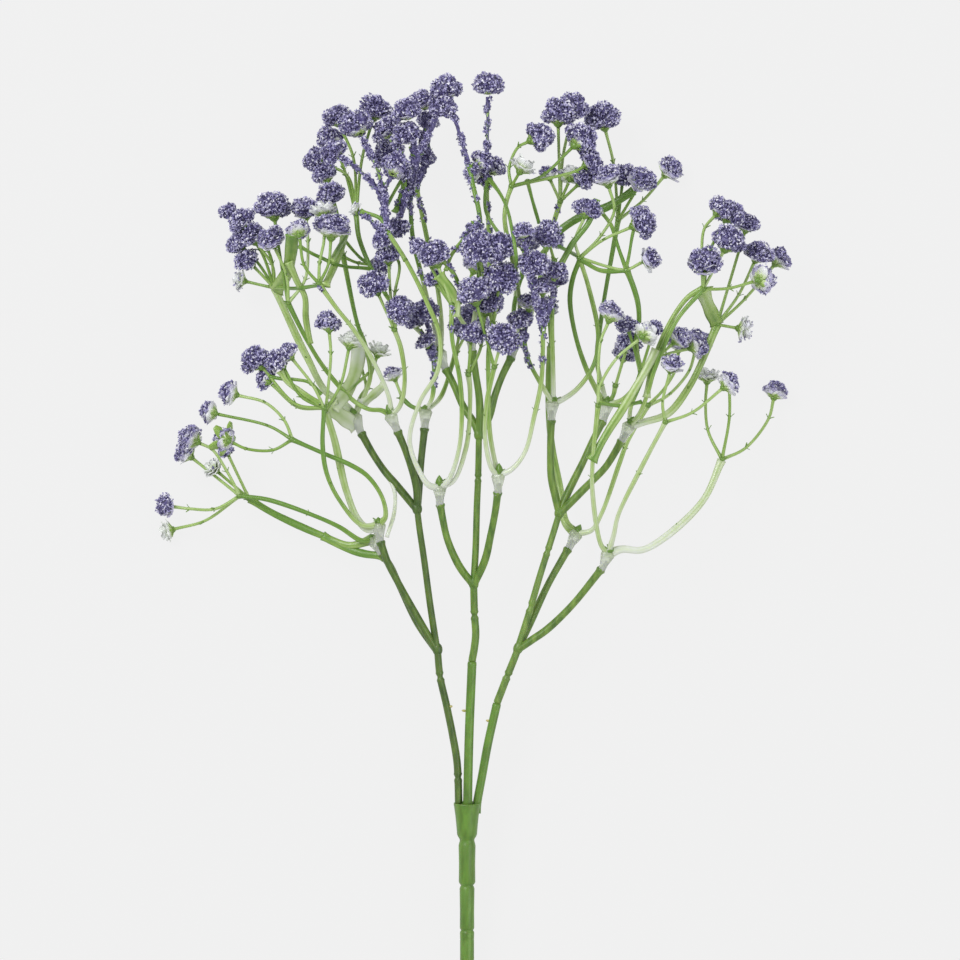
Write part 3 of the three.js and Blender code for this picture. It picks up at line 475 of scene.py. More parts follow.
SPRAYS = [
    Spray("left_1", tip=(-28.7, 96, 17), bud=(-32.5, 102.3, 17.5), filaments=[
        Filament([(-39, 98.5, 15.5), (-47.3, 101.3, 13.5), (-58.3, 106, 12), (-66.3, 110, 12),
                  (-72.7, 114, 13)], wide=BAND, tones=(0.7, 0.85), flowers=[
            Flower((-80.5, 130, 12), radius=2.8),
            Flower((-84.9, 124.5, 17), radius=3.8, bare=0.9),
        ]),
        Filament([(-35, 100, 19), (-42.7, 104.7, 20), (-50.7, 108.3, 20), (-66.3, 113.7, 18),
                  (-75.7, 115, 17)], tones=(0.8, 1.0), flowers=[
            Flower((-100.7, 111.7, 9), past=[(-84, 110.7, 15), (-92.7, 110.7, 11)], radius=3.8, bare=0.35),
            Flower((-100.6, 103.2, 3.4), past=[(-87.7, 106.7, 9)], radius=4, bare=1),
            Flower((-92.1, 134.1, 20), past=[(-80, 123, 20), (-85, 130.5, 21)], radius=4.8, bare=0.3),
            Flower((-93.9, 129.3, 15), radius=4.3, bare=0.6),
        ]),
    ]),
    Spray("left_2", tip=(-29, 100.2, 25), bud=(-29.6, 108, 27), filaments=[
        Filament([(-27.2, 108, 28.5), (-27.5, 112.3, 30), (-29.5, 117, 31), (-33.5, 122, 31),
                  (-38.7, 125.3, 31), (-47.3, 129, 30), (-58, 133.7, 29)], tones=(0.6, 0.9), flowers=[
            Flower((-78.7, 149.2, 27), past=[(-60.7, 140, 30), (-67, 146, 29.5)], radius=4, bare=0.55),
            Flower((-85.6, 142.9, 24), past=[(-66, 138.3, 27)], radius=3.8, bare=0.5),
            Flower((-80.7, 133.9, 29), past=[(-64.7, 130.3, 28), (-73.3, 130.7, 29)], radius=3.8, bare=0.3,
                   tilt=-0.9, leafy=3.2),
        ]),
        Filament([(-33, 104, 24.5), (-36.3, 107, 24), (-40.3, 117, 25), (-44.3, 134.3, 28.5),
                  (-47, 143, 30)], wide=BAND, tones=(0.15, 0.4), flowers=[
            Flower((-46, 172.5, 33), past=[(-45.3, 162, 33)], radius=4.5),
            Flower((-38.7, 166.7, 30), past=[(-42, 152.3, 31)], radius=4.4, bare=1),
        ]),
        Filament([(-35, 105.3, 27), (-42.7, 114, 30.5), (-46.7, 122.7, 33), (-48, 132, 35),
                  (-47.5, 144, 37)], tones=(0.35, 0.85), flowers=[
            Flower((-70.3, 160, 35), past=[(-56.7, 145.5, 37)], radius=5.2),
            Flower((-62.4, 160, 38), past=[(-55, 148, 38.5)], radius=4.6),
            Flower((-59.4, 162.4, 41), past=[(-51, 151.5, 40)], radius=3.8, bare=0.3),
            Flower((-67, 153.9, 33), past=[(-56, 144.5, 35.5)], radius=3.7),
        ]),
    ]),
    Spray("left_3", tip=(-35.5, 136.4, 20), bud=(-38.7, 144.5, 20), filaments=[
        Filament([(-41, 145.5, 18), (-47.3, 150, 15.5), (-53.3, 161, 13), (-56, 166.3, 12.5),
                  (-64.3, 184.3, 13.5)], wide=BAND, flowers=[
            Flower((-76.2, 187.3, 11), radius=3.8, bare=0.8),
            Flower((-73.3, 193.8, 14), radius=4.5, bare=0.2),
            Flower((-76.6, 199.2, 13), past=[(-70, 193, 13)], radius=4.1),
            Flower((-79.7, 209.9, 16), past=[(-69, 197, 16)], radius=3.2),
            Flower((-75, 206.7, 20), past=[(-66, 196, 18)], radius=4.6),
            Flower((-72.2, 202, 19), past=[(-65, 192, 17)], radius=5.2),
        ]),
        Filament([(-34.5, 148, 17), (-32.3, 155.7, 14), (-34, 165.3, 13), (-36.7, 172.7, 14),
                  (-41.3, 194.7, 17)], flowers=[
            Flower((-45.6, 215.4, 19), past=[(-42, 203, 18)], radius=4.7),
            Flower((-47.3, 222.7, 12), past=[(-43, 208, 14)], radius=4.4),
            Flower((-29, 191.7, 19), past=[(-37, 193, 17)], radius=3.6, bare=0.3),
        ]),
        Filament([(-36, 147, 16), (-33.5, 151, 11.5)], flowers=[
            Flower((-29.4, 164.1, 8), radius=4.3, bare=1),
            Flower((-38, 168, 7), radius=4.2, bare=1),
        ]),
    ]),
    Spray("left_4", tip=(-23.3, 137, 30), bud=(-26.7, 145.5, 32), filaments=[
        Filament([(-26, 148, 33.5), (-32.7, 162.7, 37), (-38.7, 171.7, 39), (-43, 177, 39.5),
                  (-49, 185.3, 39)], grains=0.1, tones=(0.15, 0.5), flowers=[
            Flower((-47.8, 210.3, 36), past=[(-49, 192, 39.5), (-47.5, 200, 38)], radius=4.6, bare=0.8),
            Flower((-44.8, 204, 39), past=[(-46, 192, 40)], radius=5.8, bare=0.4),
            Flower((-56, 203.2, 40), past=[(-54, 191.5, 40)], radius=3.8, bare=0.3, tilt=-0.8),
        ]),
        Filament([(-22.3, 145, 33.5), (-20.7, 153.3, 36.5), (-22, 164.3, 40),
                  (-24, 170, 41)], tones=(0.1, 0.6), flowers=[
            Flower((-22.3, 176.9, 44)),
            Flower((-30.8, 185.1, 41), radius=5.2),
            Flower((-26.1, 194.9, 40), past=[(-25.5, 183, 38.5)], radius=4.5, bare=0.2),
            Flower((-27.9, 200.1, 45), past=[(-24, 182, 38), (-22.5, 192, 37)], radius=3.8, bare=0.4),
        ]),
        Filament([(-28.5, 143.5, 29), (-32.7, 143.9, 26.5), (-38, 146.9, 24.5), (-47.3, 157.3, 24),
                  (-53, 166.3, 25), (-59.5, 179, 27)], tones=(0.75, 0.8), flowers=[
            Flower((-64.7, 211, 24), past=[(-61.5, 190, 27)], radius=6),
            Flower((-65, 200.3, 31), past=[(-60, 188, 29)], radius=4.8, bare=0.5),
            Flower((-53.9, 210.3, 22), past=[(-54, 187, 27), (-53, 199, 25)], radius=4.8),
        ]),
    ]),
    Spray("left_5", tip=(-14.1, 138, 24), bud=(-14, 145.5, 25), filaments=[
        Filament([(-18.7, 145, 22.5), (-21.5, 147.5, 21)], flowers=[
            Flower((-24.6, 155.3, 19), radius=3.3, bare=0.6),
        ]),
        Filament([(-11.7, 147.5, 26), (-11, 153.3, 26.5),
                  (-11, 160.3, 27)], coated=True, grains=0.6, flowers=[
            Flower((-13.7, 166.2, 29), radius=3.2, bare=0.4),
            Flower((-14, 176.3, 32), radius=4.8),
            Flower((-16.7, 173.3, 27), radius=3.9),
        ]),
        Filament([(-11, 145.5, 23), (-8.3, 149, 19), (-4, 162, 12)], flowers=[
            Flower((-2.2, 171, 9), radius=4.1),
            Flower((2, 174, 8), radius=5.8),
        ]),
    ]),
    Spray("middle_1", tip=(-9, 112.7, 33), bud=(-9.2, 122, 35.5), filaments=[
        Filament([(-12.5, 118.5, 37), (-15, 121.7, 38), (-19, 133, 41), (-15.7, 146, 45),
                  (-9.7, 156.5, 48.5), (-9, 168, 49.5), (-13.3, 179.3, 50), (-20, 192.7, 49),
                  (-26, 202, 47.5)], coated=True, tones=(0.05, 0.55), flowers=[
            Flower((-37.3, 210.3, 44), radius=2.6, bare=0.9),
            Flower((-23.7, 224, 40), past=[(-27, 217.3, 43)], radius=5.5),
            Flower((-44.3, 229.3, 28), past=[(-30, 217, 40), (-38, 225, 34)], radius=4.6),
            Flower((-36.7, 238.2, 27), past=[(-29.3, 222, 38)], radius=5.8),
        ]),
        Filament([(-6, 120.5, 37), (-2.7, 130.3, 41.5), (-1.7, 141, 45), (-2.3, 153.3, 49.5),
                  (-5, 168, 53), (-5, 178, 54)], grains=0.15, tones=(0.1, 0.65), flowers=[
            Flower((-10.6, 194.4, 54), radius=5.6),
            Flower((-15.5, 197.3, 51), radius=3.5),
            Flower((-11, 186.7, 48.5), radius=3.5, bare=0.2),
        ]),
        Filament([(-4.5, 120, 36), (-0.5, 130.3, 39.5), (0.7, 138, 41.5), (1, 150.7, 44.5),
                  (0.5, 155, 45.5)], tones=(0.05, 0.4), flowers=[
            Flower((1.5, 168.8, 48), radius=4.8),
            Flower((6.4, 178.8, 43), past=[(4.5, 164, 44)], radius=6),
        ]),
    ]),
    Spray("middle_2", tip=(10.3, 116.7, 36), bud=(10.7, 126, 38.5), filaments=[
        Filament([(8.3, 124, 39.5), (6, 134.7, 43), (6.7, 146.7, 46.5),
                  (9, 157.5, 49.5)], tones=(0.15, 0.55), flowers=[
            Flower((11.7, 167, 52), radius=6, bare=0.2, tilt=0.8),
            Flower((2.3, 182, 54), radius=5.7),
        ]),
        Filament([(9.5, 125.5, 37), (7.6, 136, 39), (7.2, 148.7, 40.5), (7.2, 162.7, 42),
                  (8.5, 172, 43.5)], flowers=[
            Flower((11.1, 187.2, 49), radius=6),
            Flower((3.8, 197, 53), radius=6),
            Flower((9.9, 196.7, 50), past=[(12, 186, 44)], radius=6),
            Flower((2.2, 204.1, 46), past=[(4, 190, 43)], radius=2.6),
        ]),
        Filament([(15, 124, 38.5), (19.3, 129.7, 39), (22.3, 141.3, 39.8), (24.7, 153.3, 41),
                  (25.3, 170.3, 44)], coated=True, grains=0.3, tones=(0.0, 0.6), flowers=[
            Flower((25, 184, 47), radius=3.8, bare=0.3),
            Flower((22.3, 191.4, 51), past=[(22.5, 183, 48)], radius=5.6),
            Flower((29.3, 189.3, 44), past=[(28, 180, 45)], radius=4.4),
            Flower((18.4, 202.4, 53), past=[(21, 188, 50)], radius=3.7, bare=0.2),
        ]),
    ]),
    Spray("middle_3", tip=(-7.3, 157.7, 24), bud=(-10, 165.5, 24), filaments=[
        Filament([(-14, 168, 25), (-20, 174, 26), (-27, 182, 26), (-35.7, 200, 23),
                  (-37, 208.7, 21)], flowers=[
            Flower((-45.6, 235, 3.4), past=[(-41, 224, 12)], radius=4.8),
            Flower((-50.9, 227.7, 11), past=[(-40, 222, 14)], radius=4.3),
            Flower((-43.7, 241.6, 12), past=[(-38, 228, 14)], radius=4.8),
            Flower((-30.6, 244, 16), past=[(-35, 228, 16)], radius=5.6),
        ]),
        Filament([(-11, 172, 24), (-15, 188, 24), (-18, 200.7, 25),
                  (-19, 213.7, 27)], coated=True, grains=0.5, flowers=[
            Flower((-22.9, 204.8, 34), past=[(-20, 217, 30)], radius=4),
            Flower((-20, 235, 29), past=[(-18, 228, 29)]),
            Flower((-14.7, 246.4, 24), past=[(-17.5, 226, 29), (-14, 236, 27)], radius=4.8),
            Flower((-20.2, 242.8, 33), past=[(-17, 228, 30)]),
            Flower((-8.4, 244.7, 30), past=[(-16, 228, 30)]),
            Flower((-27.2, 236.7, 25), past=[(-22, 228, 28)], radius=4.8),
        ]),
        Filament([(-8.5, 170, 20), (-9.5, 182, 16), (-11.7, 193, 14),
                  (-16.7, 217, 13)], coated=True, grains=0.5, flowers=[
            Flower((-15, 228.3, 12), radius=4.3),
            Flower((-26.3, 229.3, 12), radius=5.5),
            Flower((-13.3, 240, 15), past=[(-13, 230, 13)], radius=3.9),
        ]),
    ]),
    Spray("middle_4", tip=(1.7, 163.7, 33), bud=(1, 171.5, 35), filaments=[
        Filament([(2.5, 174, 36.5), (3.8, 186, 38), (4.3, 207, 38.5), (1.7, 219.7, 37),
                  (1, 224, 36.3)], coated=True, grains=0.55, flowers=[
            Flower((-7, 250.3, 29), radius=5.4),
            Flower((5, 226.3, 33), radius=4),
        ]),
        Filament([(4.8, 172.5, 33), (6.8, 182, 30), (7.5, 195, 28),
                  (6.5, 217, 29)], coated=True, grains=0.3, flowers=[
            Flower((8.8, 224.3, 26), radius=4.2),
            Flower((3, 222, 24), radius=4.3, bare=0.6),
            Flower((7.1, 251.7, 24), past=[(6.7, 228, 29)], radius=5.1),
        ]),
        Filament([(-1.5, 173, 31), (-4, 178, 22), (-3, 180, 15)], flowers=[
            Flower((3, 191.8, 9), radius=4.3),
        ]),
    ]),
    Spray("middle_5", tip=(15, 161.7, 26), bud=(17, 169.5, 27), filaments=[
        Filament([(17.5, 173, 31), (17, 184, 35), (12.5, 207, 38.5), (13.2, 213, 38),
                  (14.7, 217.7, 37)], flowers=[
            Flower((23.7, 234.6, 33), past=[(14, 224, 36), (17, 231, 34.5)], radius=5.5),
            Flower((18.8, 224.8, 42), radius=4.8, bare=0.9, tilt=-0.6),
            Flower((38, 233.7, 31), past=[(24.7, 221.3, 36)], radius=6),
            Flower((41.2, 226, 30), past=[(36, 223, 33)], radius=4.4),
        ]),
        Filament([(20, 172, 25), (23.5, 184, 23), (26, 196, 22.5), (31, 213, 25)], grains=0.15, flowers=[
            Flower((27, 222, 27), radius=3.2, bare=0.5),
            Flower((35, 222, 26), radius=4, bare=0.8, tilt=-0.8),
            Flower((38.8, 220.4, 27), radius=4.2),
            Flower((30.3, 242.2, 26), radius=5.8),
            Flower((35.5, 244.3, 22), past=[(32, 228, 23)], radius=5.6),
        ]),
        Filament([(15.5, 172, 22), (16, 180, 16), (18, 188, 12)], flowers=[
            Flower((19.3, 200.3, 9), radius=4.8),
            Flower((28.7, 200.9, 11), radius=3.9),
        ]),
    ]),
    Spray("right_1", tip=(34, 97.7, 15), bud=(38, 105.5, 15), filaments=[
        Filament([(33, 106, 13), (31, 118, 9.5), (28, 135, 9), (27.5, 155, 12),
                  (28, 165, 13)], wide=BAND, tones=(0.6, 0.7), flowers=[
            Flower((27, 178, 13), radius=4, bare=0.6),
            Flower((29.3, 187.4, 15), radius=4.6),
        ]),
        Filament([(41.5, 103.5, 16.5), (45, 109.3, 18), (51, 126.3, 20), (53.5, 133, 20),
                  (60.3, 145, 18.5)], tones=(0.15, 0.6), flowers=[
            Flower((77.2, 166.5, 19), past=[(67, 148.5, 17), (74, 156.5, 17)], radius=4.6, bare=0.3),
            Flower((71, 166.3, 15), past=[(66, 151, 16), (70, 158, 15)], radius=4.8, bare=0.5),
        ]),
    ]),
    Spray("right_2", tip=(45, 91, 30.4), bud=(48.3, 99, 32.5), filaments=[
        Filament([(44.5, 99, 34), (41.7, 116.3, 39), (41.7, 125.7, 41),
                  (43.5, 144.7, 43)], tones=(0.3, 0.5), flowers=[
            Flower((59.4, 169, 46), past=[(44, 151, 44), (49.5, 160.5, 45.5)], radius=4.5, bare=0.8,
                   tilt=-0.9),
            Flower((48, 175.5, 42), past=[(44.3, 166, 42)], radius=4.6, bare=0.45),
        ]),
        Filament([(48.8, 102, 35), (50.3, 108.7, 37), (57, 122.7, 40.5),
                  (65.7, 139.3, 43)], tones=(0.05, 0.5), flowers=[
            Flower((86.9, 152.3, 37), past=[(74.7, 142.7, 41.5)], radius=4.3, bare=0.6),
            Flower((67.8, 158.2, 47), past=[(64.9, 146, 45)], radius=3.9, bare=0.65),
        ]),
        Filament([(51.5, 97.3, 31), (58, 97, 30), (65.3, 100.8, 28), (78.7, 113.5, 23.5),
                  (85, 127, 21)], wide=BAND, tones=(0.0, 0.2), flowers=[
            Flower((80.4, 155.6, 13), past=[(80.5, 136.7, 18), (79.7, 146, 15)], radius=4.6, bare=0.85),
            Flower((87.5, 153.5, 24), past=[(87.5, 141, 22)], radius=3, bare=0.6),
            Flower((103.3, 149.8, 3.8), past=[(93, 131, 16), (101, 141, 8)], radius=4.2, bare=0.45),
        ]),
    ]),
    Spray("right_3", tip=(28.1, 140.7, 27.4), bud=(29, 149, 28.5), filaments=[
        Filament([(26, 150, 31), (20.5, 160, 34.5), (19, 166, 35.5)], coated=True, grains=0.5, flowers=[
            Flower((21, 179, 39), radius=4, bare=0.5),
            Flower((17.8, 173.3, 36.5), radius=4.2),
        ]),
        Filament([(28.8, 151.5, 29.5), (28.3, 170.3, 31), (29, 193, 35)], flowers=[
            Flower((26.6, 201.6, 42), radius=4.8),
        ]),
        Filament([(31.5, 147, 27.5), (37, 151, 26.5), (42.3, 159, 26.5), (43.7, 168.7, 27),
                  (40.7, 183.7, 30), (37.5, 194, 32)], tones=(0.0, 0.7), flowers=[
            Flower((40.1, 210.3, 36), past=[(36, 200, 34)], radius=4.6),
            Flower((46.5, 221, 33), past=[(44.3, 201.3, 33), (49, 210, 33)], bare=0.5),
            Flower((57.9, 205.9, 36), past=[(45, 200, 35)], radius=5.6, bare=0.2),
            Flower((60.7, 193.8, 33), past=[(52.7, 190.3, 33)], radius=4, bare=0.65),
        ]),
    ]),
    Spray("right_4", tip=(45.5, 140.3, 17), bud=(47.2, 148.5, 17), filaments=[
        Filament([(48.8, 148.5, 16.5), (49.5, 151.5, 16.3)], flowers=[
            Flower((52.7, 162.5, 13), radius=4.1),
            Flower((53.7, 165.7, 21), radius=4.2, bare=0.3),
        ]),
        Filament([(51.5, 147, 19), (56, 151.5, 20.5), (58, 156.5, 21.5)], flowers=[
            Flower((62.4, 170.8, 26), radius=3),
            Flower((53.3, 171.7, 30), radius=3.7),
        ]),
        Filament([(45.5, 150.5, 14), (43.5, 160, 11), (45, 175, 9.5), (50.5, 207, 10)], flowers=[
            Flower((52.2, 221.8, 13), radius=4.6, bare=0.35),
            Flower((58.5, 220.4, 18), radius=4.8, bare=0.45),
            Flower((67.9, 224.3, 3.4), past=[(59, 214, 7)], radius=4.8, bare=0.55, tilt=0.5),
            Flower((45.3, 241.2, 14), past=[(49, 226, 11)], radius=6),
        ]),
    ]),
    Spray("right_5", tip=(51.7, 133.7, 31), bud=(55.5, 141.5, 33), filaments=[
        Filament([(57.2, 142, 35), (60.3, 150, 37.5), (62, 156.3, 39), (67.7, 169.8, 41), (71, 175.3, 41),
                  (78.3, 183.5, 40)], tones=(0.3, 0.85), flowers=[
            Flower((79, 192.4, 43), radius=6, bare=0.35),
            Flower((84.3, 210.5, 31), past=[(78, 196, 37), (79, 204, 34)], radius=4.3),
            Flower((87.7, 208.7, 27), past=[(81, 197, 35)], radius=5.2),
            Flower((98.3, 187.1, 37), past=[(87, 184, 40)], radius=4.6, bare=0.3, tilt=-0.8),
            Flower((87.1, 199.6, 36), radius=5.8),
        ]),
        Filament([(58.5, 139.5, 31), (67, 142.5, 28), (73.8, 151, 25), (77.5, 158, 24),
                  (83.3, 172, 24)], wide=BAND, tones=(0.05, 0.7), flowers=[
            Flower((92.7, 170.6, 23), radius=4.4, bare=0.75),
            Flower((97.1, 195.7, 27), past=[(90.5, 182, 25)], radius=4.9, bare=0.4),
            Flower((104.3, 194.1, 18), past=[(92, 180, 20)], radius=4.4, bare=0.4),
            Flower((93.4, 205.7, 21), radius=4.5),
        ]),
        Filament([(54.5, 144.5, 32.5), (57.5, 152, 32), (61, 159, 32)], flowers=[
            Flower((70.4, 167.4, 33), radius=3.9, bare=0.4),
            Flower((76.5, 164.7, 30), past=[(66, 162, 31)], radius=4.2, bare=0.4),
        ]),
    ]),
]
NECK_LENGTH = 6.5
NECK_PROFILE = [(-0.9, 1.3), (0.3, 1.3), (1.6, 1.42), (3.4, 1.9), (5.0, 2.25), (6.2, 1.5)]  # place, radius
ROOT_DEPTH = 1.2  # of the filaments and the bud in the neck
BUD_RADIUS = 1.4
FILAMENT_SIDES = 12
FORK_RADIUS = 0.85
FLOWER_STALK_RADIUS = 0.5
BUD_BRACTS = (4, 2.3, 0.5)  # how many, their length and half their width
FORK_BRACTS = (3, 2.1, 0.45)
FILAMENT_BRACTS = (2, 1.5, 0.35)
FLOWER_STALK_BRACTS = (2, 1.7, 0.38)
LONG_FILAMENT = 30  # stations of a filament that has bracts along it
TONE_CLOUD = 0.3  # share of the noise that is added to the tone of a surface
HEAD_FOOT = 0.75  # from the foot of a head to its middle, in head radii
BLADE_SHARES = np.linspace(0.02, 1, 5)[None, :, None]  # stations along a petal, sepal or bract
draw = np.random.default_rng(29)


def clouded_tone(material, place, cloud, detail):
    """Tone of the surface at a place plus TONE_CLOUD times noise, in clouds of the size given in mm."""
    noise = add_node(material, "TexNoise", [(place, "Vector")], Scale=1 / (cloud * MM), Detail=detail)
    tone = add_node(material, "Attribute", attribute_name="tone")
    total = add_node(material, "Math", [(noise.outputs["Fac"], 0), (tone.outputs["Fac"], 2)],
                     operation="MULTIPLY_ADD")
    total.inputs[1].default_value = TONE_CLOUD
    return total.outputs[0]


def translucent_polyethylene(name, stops, clear, roughness=0.36):
    """Thin translucent polyethylene: milky where it is thick and clear, and greener along the tone of the
    surface, with light scattered inside. Clear is the share of light that goes straight through."""
    material, shader = new_material(name, stops[-1][1], roughness, IOR=1.51, Coat_Weight=0.1,
                                    Transmission_Weight=clear, Subsurface_Weight=0.3,
                                    Subsurface_Scale=0.001, Subsurface_Radius=(1.0, 1.0, 0.7))
    place = add_node(material, "TexCoord").outputs["Object"]
    tint = add_ramp(material, clouded_tone(material, place, cloud=3.5, detail=2.0), stops)
    feed(material, tint, shader, "Base Color")
    return material


def neck_surface(tip, way):
    """Neck: a funnel that swells from the tip of the arm, with a ragged skirt that was left where it was
    pressed on. Rows follow the funnel's axis, and the skirt and the rim wander by a few sines."""
    count = 26
    along = np.linspace(-0.9, NECK_LENGTH - 0.3, 18)
    radius = np.interp(along, *np.transpose(NECK_PROFILE))
    path = tip + along[:, None] * way
    rows = sweep(path, radius, 0.85 * radius, count)
    angle = 2 * np.pi * np.arange(count) / count
    phase = draw.uniform(0, 2 * np.pi, 4)
    skirt = 0.5 * np.sin(3 * angle + phase[0]) + 0.35 * np.sin(5 * angle + phase[1])
    rows = rows + (skirt * np.clip((1.2 - along) / 2.1, 0, 1)[:, None])[..., None] * way
    lobes = 1 + 0.16 * np.sin(3 * angle + phase[2]) * np.clip(along[:, None] / NECK_LENGTH, 0, 1)
    rows = path[:, None] + (rows - path[:, None]) * lobes[..., None]
    tone = np.interp(along, [-0.9, 3, 6.5], [0.0, 0.12, 0.45])[:, None] + 0 * angle
    return skin(rows, tone[None])


def on_blade(root, along, face, length, width, bend, ruffle, u, v, lift):
    """Points on thin curved blades at share u of their length and v of their half width, raised by lift in
    mm. A blade bends at an even rate from along towards face, through bend radians. Half its width follows
    a sine that is fullest past the middle, and the ruffle is a sine across it that grows towards the tip."""
    wide = (slice(None),) + (None,) * (np.ndim(u) - 1)
    length, width, bend = length[wide], width[wide], bend[wide]
    root, along, face = root[wide], along[wide], face[wide]
    across = np.cross(along, face)
    turned = bend * u
    out = length * np.sin(turned) / bend
    rise = length * (1 - np.cos(turned)) / bend
    half = width * np.sin(np.pi * (0.1 + 0.78 * u)) ** 0.8
    wave = ruffle * length * u**2 * np.sin(4.2 * v + 9 * root[..., 0] + 5 * bend)
    normal = face * np.cos(turned)[..., None] - along * np.sin(turned)[..., None]
    return (root + along * out[..., None] + face * rise[..., None] + across * (half * v)[..., None]
            + normal * (wave + lift)[..., None])


def blade_rows(root, along, face, length, width, bend, ruffle=0.0, thick=0.12, sides=6):
    """Rows of points of a batch of blades: a flat oval round each station."""
    angle = 2 * np.pi * (np.arange(sides) + 0.5) / sides
    v, side = np.cos(angle)[None, None], np.sin(angle)[None, None]
    return on_blade(root, along, face, length, width, bend, ruffle, BLADE_SHARES, v, thick * side)


def square_to(axis):
    """Two unit vectors square to an axis and to each other, by cross products, also for an upright axis."""
    first = unit(np.cross(axis, UP + np.array([0.013, 0.007, 0])))
    return first, np.cross(axis, first)


def frame_round(axis, angle):
    """Unit vectors square to an axis, turned round it by angles."""
    first, second = square_to(axis)
    return np.cos(angle)[:, None] * first + np.sin(angle)[:, None] * second


def bracts(place, way, count, length, width, lean=0.5):
    """Tiny pointed leaves round a stem at a place. They lean out from its way and bend back to it."""
    angle = 2 * np.pi * (np.arange(count) + draw.uniform()) / count
    out = frame_round(way, angle)
    along = unit(way + lean * out)
    face = unit(out - (out * along).sum(axis=1, keepdims=True) * along)
    sizes = length * draw.uniform(0.75, 1.2, count)
    rows = blade_rows(place + 0.3 * out, along, -face, sizes, np.full(count, width), np.full(count, -0.5),
                      sides=5)
    return skin(rows, 0.85)


def bud_surfaces(tip, way, length):
    """Bud: a ribbed spindle whose radius follows a tilted half turn of a sine, with bracts at its foot."""
    share = np.linspace(0, 1, 12)
    along = NECK_LENGTH - ROOT_DEPTH + (length + ROOT_DEPTH - NECK_LENGTH) * share
    path = tip + along[:, None] * way
    swell = BUD_RADIUS * np.sin(np.pi * (0.15 + 0.84 * share)) ** 0.9 * (1 - 0.25 * share)
    return [skin(sweep(path, swell, swell, 15, ribs=0.1), 0.9), bracts(path[3], way, *BUD_BRACTS, lean=0.9)]


def filament_surface(filament, before):
    """Filament: a ribbed ribbon through the points before it and along its route, widest at its root and its
    fork, and flatter where it is wide. Its tone goes from milky near the neck to green, with a slow wave,
    and round the ribbon it rises on the ribs and falls between them: streaks that stand partly for the ribs'
    own colour and partly for painted highlight and shade."""
    path = curve([*before, *filament.route], 0.9)
    share = np.linspace(0, 1, len(path))
    band = filament.wide >= BAND
    width = filament.wide * (1 + 0.7 * np.exp(-share / 0.05) + 0.25 * np.exp(-(1 - share) / 0.04))
    width = width * (1 + 0.07 * np.sin(11 * share + draw.uniform(0, 6)))
    deep = min(0.75, 0.55 / filament.wide) * width
    green = draw.uniform(0.25, 0.45) if band else draw.uniform(0.6, 0.95)
    milky = draw.uniform(0.0, 0.3)
    if filament.tones:
        milky, green = filament.tones
    tone = milky + (green - milky) * np.clip((share - 0.05) / draw.uniform(0.25, 0.6), 0, 1)
    tone = tone + 0.1 * np.sin(draw.uniform(3, 7) * share + draw.uniform(0, 6))
    rows = sweep(path, width, deep, FILAMENT_SIDES, ribs=0.07)
    # Streaks round the ribbon that follow its ribs: partly the ribs' own colour, partly painted highlight
    # and shade.
    ribs = 0.12 * np.cos(4 * 2 * np.pi * np.arange(FILAMENT_SIDES) / FILAMENT_SIDES)
    return path, skin(rows, np.clip(tone[:, None] + ribs, 0, 1)[None])


neck_material = translucent_polyethylene("translucent_pe_neck", [
    (0.05, "#eceeea"), (0.35, "#e2e8d8"), (0.75, "#bdd194"), (1.0, "#98b962")],
    clear=0.5, roughness=0.24)
filament_material = translucent_polyethylene("translucent_green_pe", [
    (0.12, "#e4e9dc"), (0.38, "#cddab2"), (0.68, "#a9c372"), (0.86, "#8bad50"), (1.0, "#6f983c")],
    clear=0.12)
leaf_material = translucent_polyethylene("soft_green_pe", [
    (0.15, "#cad9ac"), (0.4, "#a9c378"), (0.7, "#8aab50"), (1.0, "#688d37")], clear=0.05)

# Heads
# Each head is a rosette of thin milky petals in a green calyx. It was dipped in glue and rolled in purple
# grains, from its top down to where the glue reached, and on some sprays the flower stalks were too.
PETAL_LAYERS = [
    # count, height of the roots, lean from the axis, bend, length, half width, all in head radii and radians
    (7, -0.55, 0.95, 0.35, 1.05, 0.56),
    (6, -0.50, 0.64, 0.40, 1.12, 0.50),
    (5, -0.45, 0.35, 0.35, 1.12, 0.42),
    (4, -0.40, 0.10, 0.30, 1.04, 0.34),
]
HIDDEN = 0.7  # length of the petals under a full head, against those of a bare one
RUFFLE = 0.06
HALF_PETAL = 0.09  # half the thickness of a petal
MASS_WIDTH = 1.08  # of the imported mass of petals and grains, in head radii, with its height and its middle
MASS_HEIGHT = 0.92
MASS_MIDDLE = 0.04
WAIST_LUMPS = 5  # round which the grains of a head are packed
TOP_LUMPS = 3
CREASE = 0.6  # depth to which the creases between the lumps reach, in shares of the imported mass
FULL = 0.25  # a head barer than this shows all its petals
BARE = 0.7  # and one barer than this has lost the inner petals, and has only loose grains
BARE_LAYERS = 3
GRAINS = 760  # on a full head of the usual radius
LOOSE_GRAINS = 200
GRAIN_SIZE = (0.36, 0.74)  # half the length of a grain, from and to
GRAIN_SHAPES = ((0.8, 0.55, 0.4), (1.1, 0.95, 0.75))  # its half sizes against that length, from and to
COAT_FOOT = 0.5  # distance of the lowest grains from the middle of a coated stalk
COAT_DEPTH = 0.85
CRUST_RADIUS = 0.6
GRAINS_PER_MM = 24  # along a coated flower stalk
FILAMENT_GRAINS_PER_MM = 0.45 * GRAINS_PER_MM

GRAIN_CORNERS = np.array([(1, 0, 0), (-0.5, 0.87, 0), (-0.5, -0.87, 0), (0, 0, 1), (0, 0, -1)])
GRAIN_FACES = np.array([(0, 1, 3), (1, 2, 3), (2, 0, 3), (1, 0, 4), (2, 1, 4), (0, 2, 4)])


